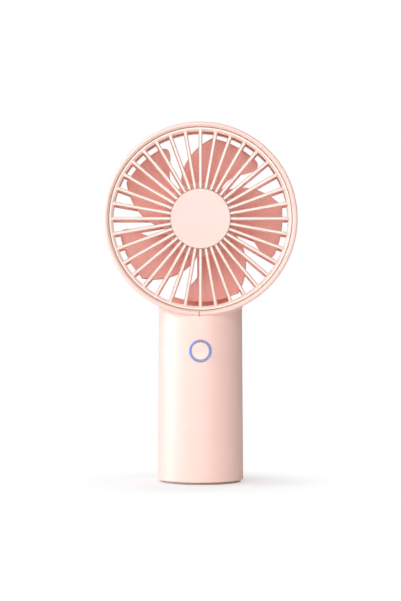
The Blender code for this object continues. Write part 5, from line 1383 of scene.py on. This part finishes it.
def make_surround(strength):
    """Soft light from all round, bright on the left and dim on the right; white where it is seen."""
    world = bpy.data.worlds.new("studio")
    bpy.context.scene.world = world
    world.use_nodes = True
    tree = world.node_tree
    tree.nodes.clear()
    place = add(tree, "ShaderNodeTexCoord").outputs["Generated"]
    split = add(tree, "ShaderNodeSeparateXYZ", links={"Vector": place})
    side = add(
        tree, "ShaderNodeMapRange", {"From Min": -1.0, "From Max": 1.0}, {"Value": split.outputs["X"]}
    )
    tones = add(
        tree, "ShaderNodeValToRGB", links={"Fac": side.outputs["Result"]},
        stops=[(0.0, (0.94, 0.98, 1.0)), (1.0, (0.17, 0.12, 0.11)), (0.5, (0.66, 0.62, 0.61))]
    )
    soft = add(tree, "ShaderNodeBackground", {"Strength": strength}, {"Color": tones.outputs["Color"]})
    seen = add(tree, "ShaderNodeBackground", {"Color": (1.0, 1.0, 1.0, 1.0), "Strength": 1.0})
    path = add(tree, "ShaderNodeLightPath")
    mix = add(tree, "ShaderNodeMixShader", links={"Fac": path.outputs["Is Camera Ray"]})
    tree.links.new(soft.outputs["Background"], mix.inputs[1])
    tree.links.new(seen.outputs["Background"], mix.inputs[2])
    output = add(tree, "ShaderNodeOutputWorld")
    tree.links.new(mix.outputs["Shader"], output.inputs["Surface"])


def make_area_light(name, side, height, distance, size, power, colour=(1.0, 1.0, 1.0)):
    """A rectangular soft light aimed at the fan, at degrees to the side of its front and up from level."""
    light = bpy.data.lights.new(name, "AREA")
    light.shape = "RECTANGLE"
    light.size, light.size_y = size
    light.energy = power
    light.color = colour
    made = bpy.data.objects.new(name, light)
    middle = Vector((0, 0, HEAD_HEIGHT * 0.7))
    turn = Matrix.Rotation(math.radians(side), 3, "Z") @ Matrix.Rotation(-math.radians(height), 3, "X")
    away = turn @ Vector((0, -1, 0))
    made.location = middle + away * distance
    made.rotation_euler = (-away).to_track_quat("-Z", "Y").to_euler()
    bpy.context.scene.collection.objects.link(made)


def make_studio(studio, colours):
    """The floor, the surround, four soft lights and the camera."""
    make_floor(colours)
    make_surround(studio.surround)
    make_area_light("front_key", -18.0, 30.0, 1.7, (1.2, 0.9), studio.key)
    make_area_light("left_side", -88.0, 6.0, 1.0, (0.5, 1.0), studio.side, (0.80, 0.92, 1.0))
    make_area_light("camera_fill", 6.0, 6.0, 1.9, (0.9, 0.9), studio.fill)
    make_area_light("back_soft", 165.0, 32.0, 1.8, (1.1, 0.8), studio.back)
    camera = bpy.data.cameras.new("camera")
    camera.lens = studio.lens
    camera.sensor_width = 36.0
    made = bpy.data.objects.new("camera", camera)
    made.location = (0.0, -HEAD_FRONT - studio.distance, studio.height)
    made.rotation_euler = (math.pi / 2, 0, 0)
    bpy.context.scene.collection.objects.link(made)
    bpy.context.scene.camera = made
    bpy.context.scene.view_settings.view_transform = "Standard"


# ---------------------------------------------------------------- operators
class FAN_OT_shell(bpy.types.Operator):
    """Make the head's shell and the handle, moulded in one piece"""

    bl_idname = "fan.shell"
    bl_label = "Shell"

    def execute(self, context):
        make_shell(context.scene.fan_sizes, context.scene.fan_colours)
        return {"FINISHED"}


class FAN_OT_front_grille(bpy.types.Operator):
    """Make the front grille and the cap at its middle"""

    bl_idname = "fan.front_grille"
    bl_label = "Front grille"

    def execute(self, context):
        make_front_grille(context.scene.fan_sizes, context.scene.fan_colours)
        return {"FINISHED"}


class FAN_OT_rear_grille(bpy.types.Operator):
    """Make the rear grille and its cap"""

    bl_idname = "fan.rear_grille"
    bl_label = "Rear grille"

    def execute(self, context):
        make_rear_grille(context.scene.fan_sizes, context.scene.fan_colours)
        return {"FINISHED"}


class FAN_OT_impeller(bpy.types.Operator):
    """Make the impeller with its five blades"""

    bl_idname = "fan.impeller"
    bl_label = "Impeller"

    def execute(self, context):
        make_impeller(context.scene.fan_sizes, context.scene.fan_colours)
        return {"FINISHED"}


class FAN_OT_button(bpy.types.Operator):
    """Make the push button and the lit ring round it"""

    bl_idname = "fan.button"
    bl_label = "Button"

    def execute(self, context):
        make_button(context.scene.fan_colours)
        return {"FINISHED"}


class FAN_OT_foot(bpy.types.Operator):
    """Make the foot cap and its soft pad"""

    bl_idname = "fan.foot"
    bl_label = "Foot"

    def execute(self, context):
        make_foot(context.scene.fan_colours)
        return {"FINISHED"}


class FAN_OT_socket(bpy.types.Operator):
    """Make the charging socket, its tongue and its contacts"""

    bl_idname = "fan.socket"
    bl_label = "Charging socket"

    def execute(self, context):
        make_socket()
        return {"FINISHED"}


class FAN_OT_inside(bpy.types.Operator):
    """Give the motor, the boards, the battery and the leads their finishes"""

    bl_idname = "fan.inside"
    bl_label = "Inside finishes"

    def execute(self, context):
        finish_inside()
        return {"FINISHED"}


class FAN_OT_studio(bpy.types.Operator):
    """Make the floor, the soft lights and the camera"""

    bl_idname = "fan.studio"
    bl_label = "Studio"

    def execute(self, context):
        make_studio(context.scene.fan_studio, context.scene.fan_colours)
        return {"FINISHED"}


OPERATORS = (
    FAN_OT_shell,
    FAN_OT_front_grille,
    FAN_OT_rear_grille,
    FAN_OT_impeller,
    FAN_OT_button,
    FAN_OT_foot,
    FAN_OT_socket,
    FAN_OT_inside,
    FAN_OT_studio,
)


class FAN_PT_panel(bpy.types.Panel):
    """The fan's pieces, sizes and colours"""

    bl_idname = "FAN_PT_panel"
    bl_label = "Handheld fan"
    bl_space_type = "VIEW_3D"
    bl_region_type = "UI"
    bl_category = "Fan"

    def draw(self, context):
        for operator in OPERATORS:
            self.layout.operator(operator.bl_idname)
        for group in (context.scene.fan_sizes, context.scene.fan_colours, context.scene.fan_studio):
            box = self.layout.box()
            for name in group.bl_rna.properties.keys():
                if name not in ("rna_type", "name"):
                    box.prop(group, name)


CLASSES = (FanSizes, FanColours, FanStudio, *OPERATORS, FAN_PT_panel)


def register():
    """Register the classes and hang the sizes, colours and studio on the scene."""
    for made in CLASSES:
        bpy.utils.register_class(made)
    bpy.types.Scene.fan_sizes = PointerProperty(type=FanSizes)
    bpy.types.Scene.fan_colours = PointerProperty(type=FanColours)
    bpy.types.Scene.fan_studio = PointerProperty(type=FanStudio)


def unregister():
    """Take off what register put on, in the opposite order."""
    del bpy.types.Scene.fan_studio
    del bpy.types.Scene.fan_colours
    del bpy.types.Scene.fan_sizes
    for made in reversed(CLASSES):
        bpy.utils.unregister_class(made)


def main():
    """Register the add-on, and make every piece."""
    register()
    bpy.ops.fan.shell()
    bpy.ops.fan.front_grille()
    bpy.ops.fan.rear_grille()
    bpy.ops.fan.impeller()
    bpy.ops.fan.button()
    bpy.ops.fan.foot()
    bpy.ops.fan.socket()
    bpy.ops.fan.inside()
    bpy.ops.fan.studio()


if __name__ == "__main__":
    main()
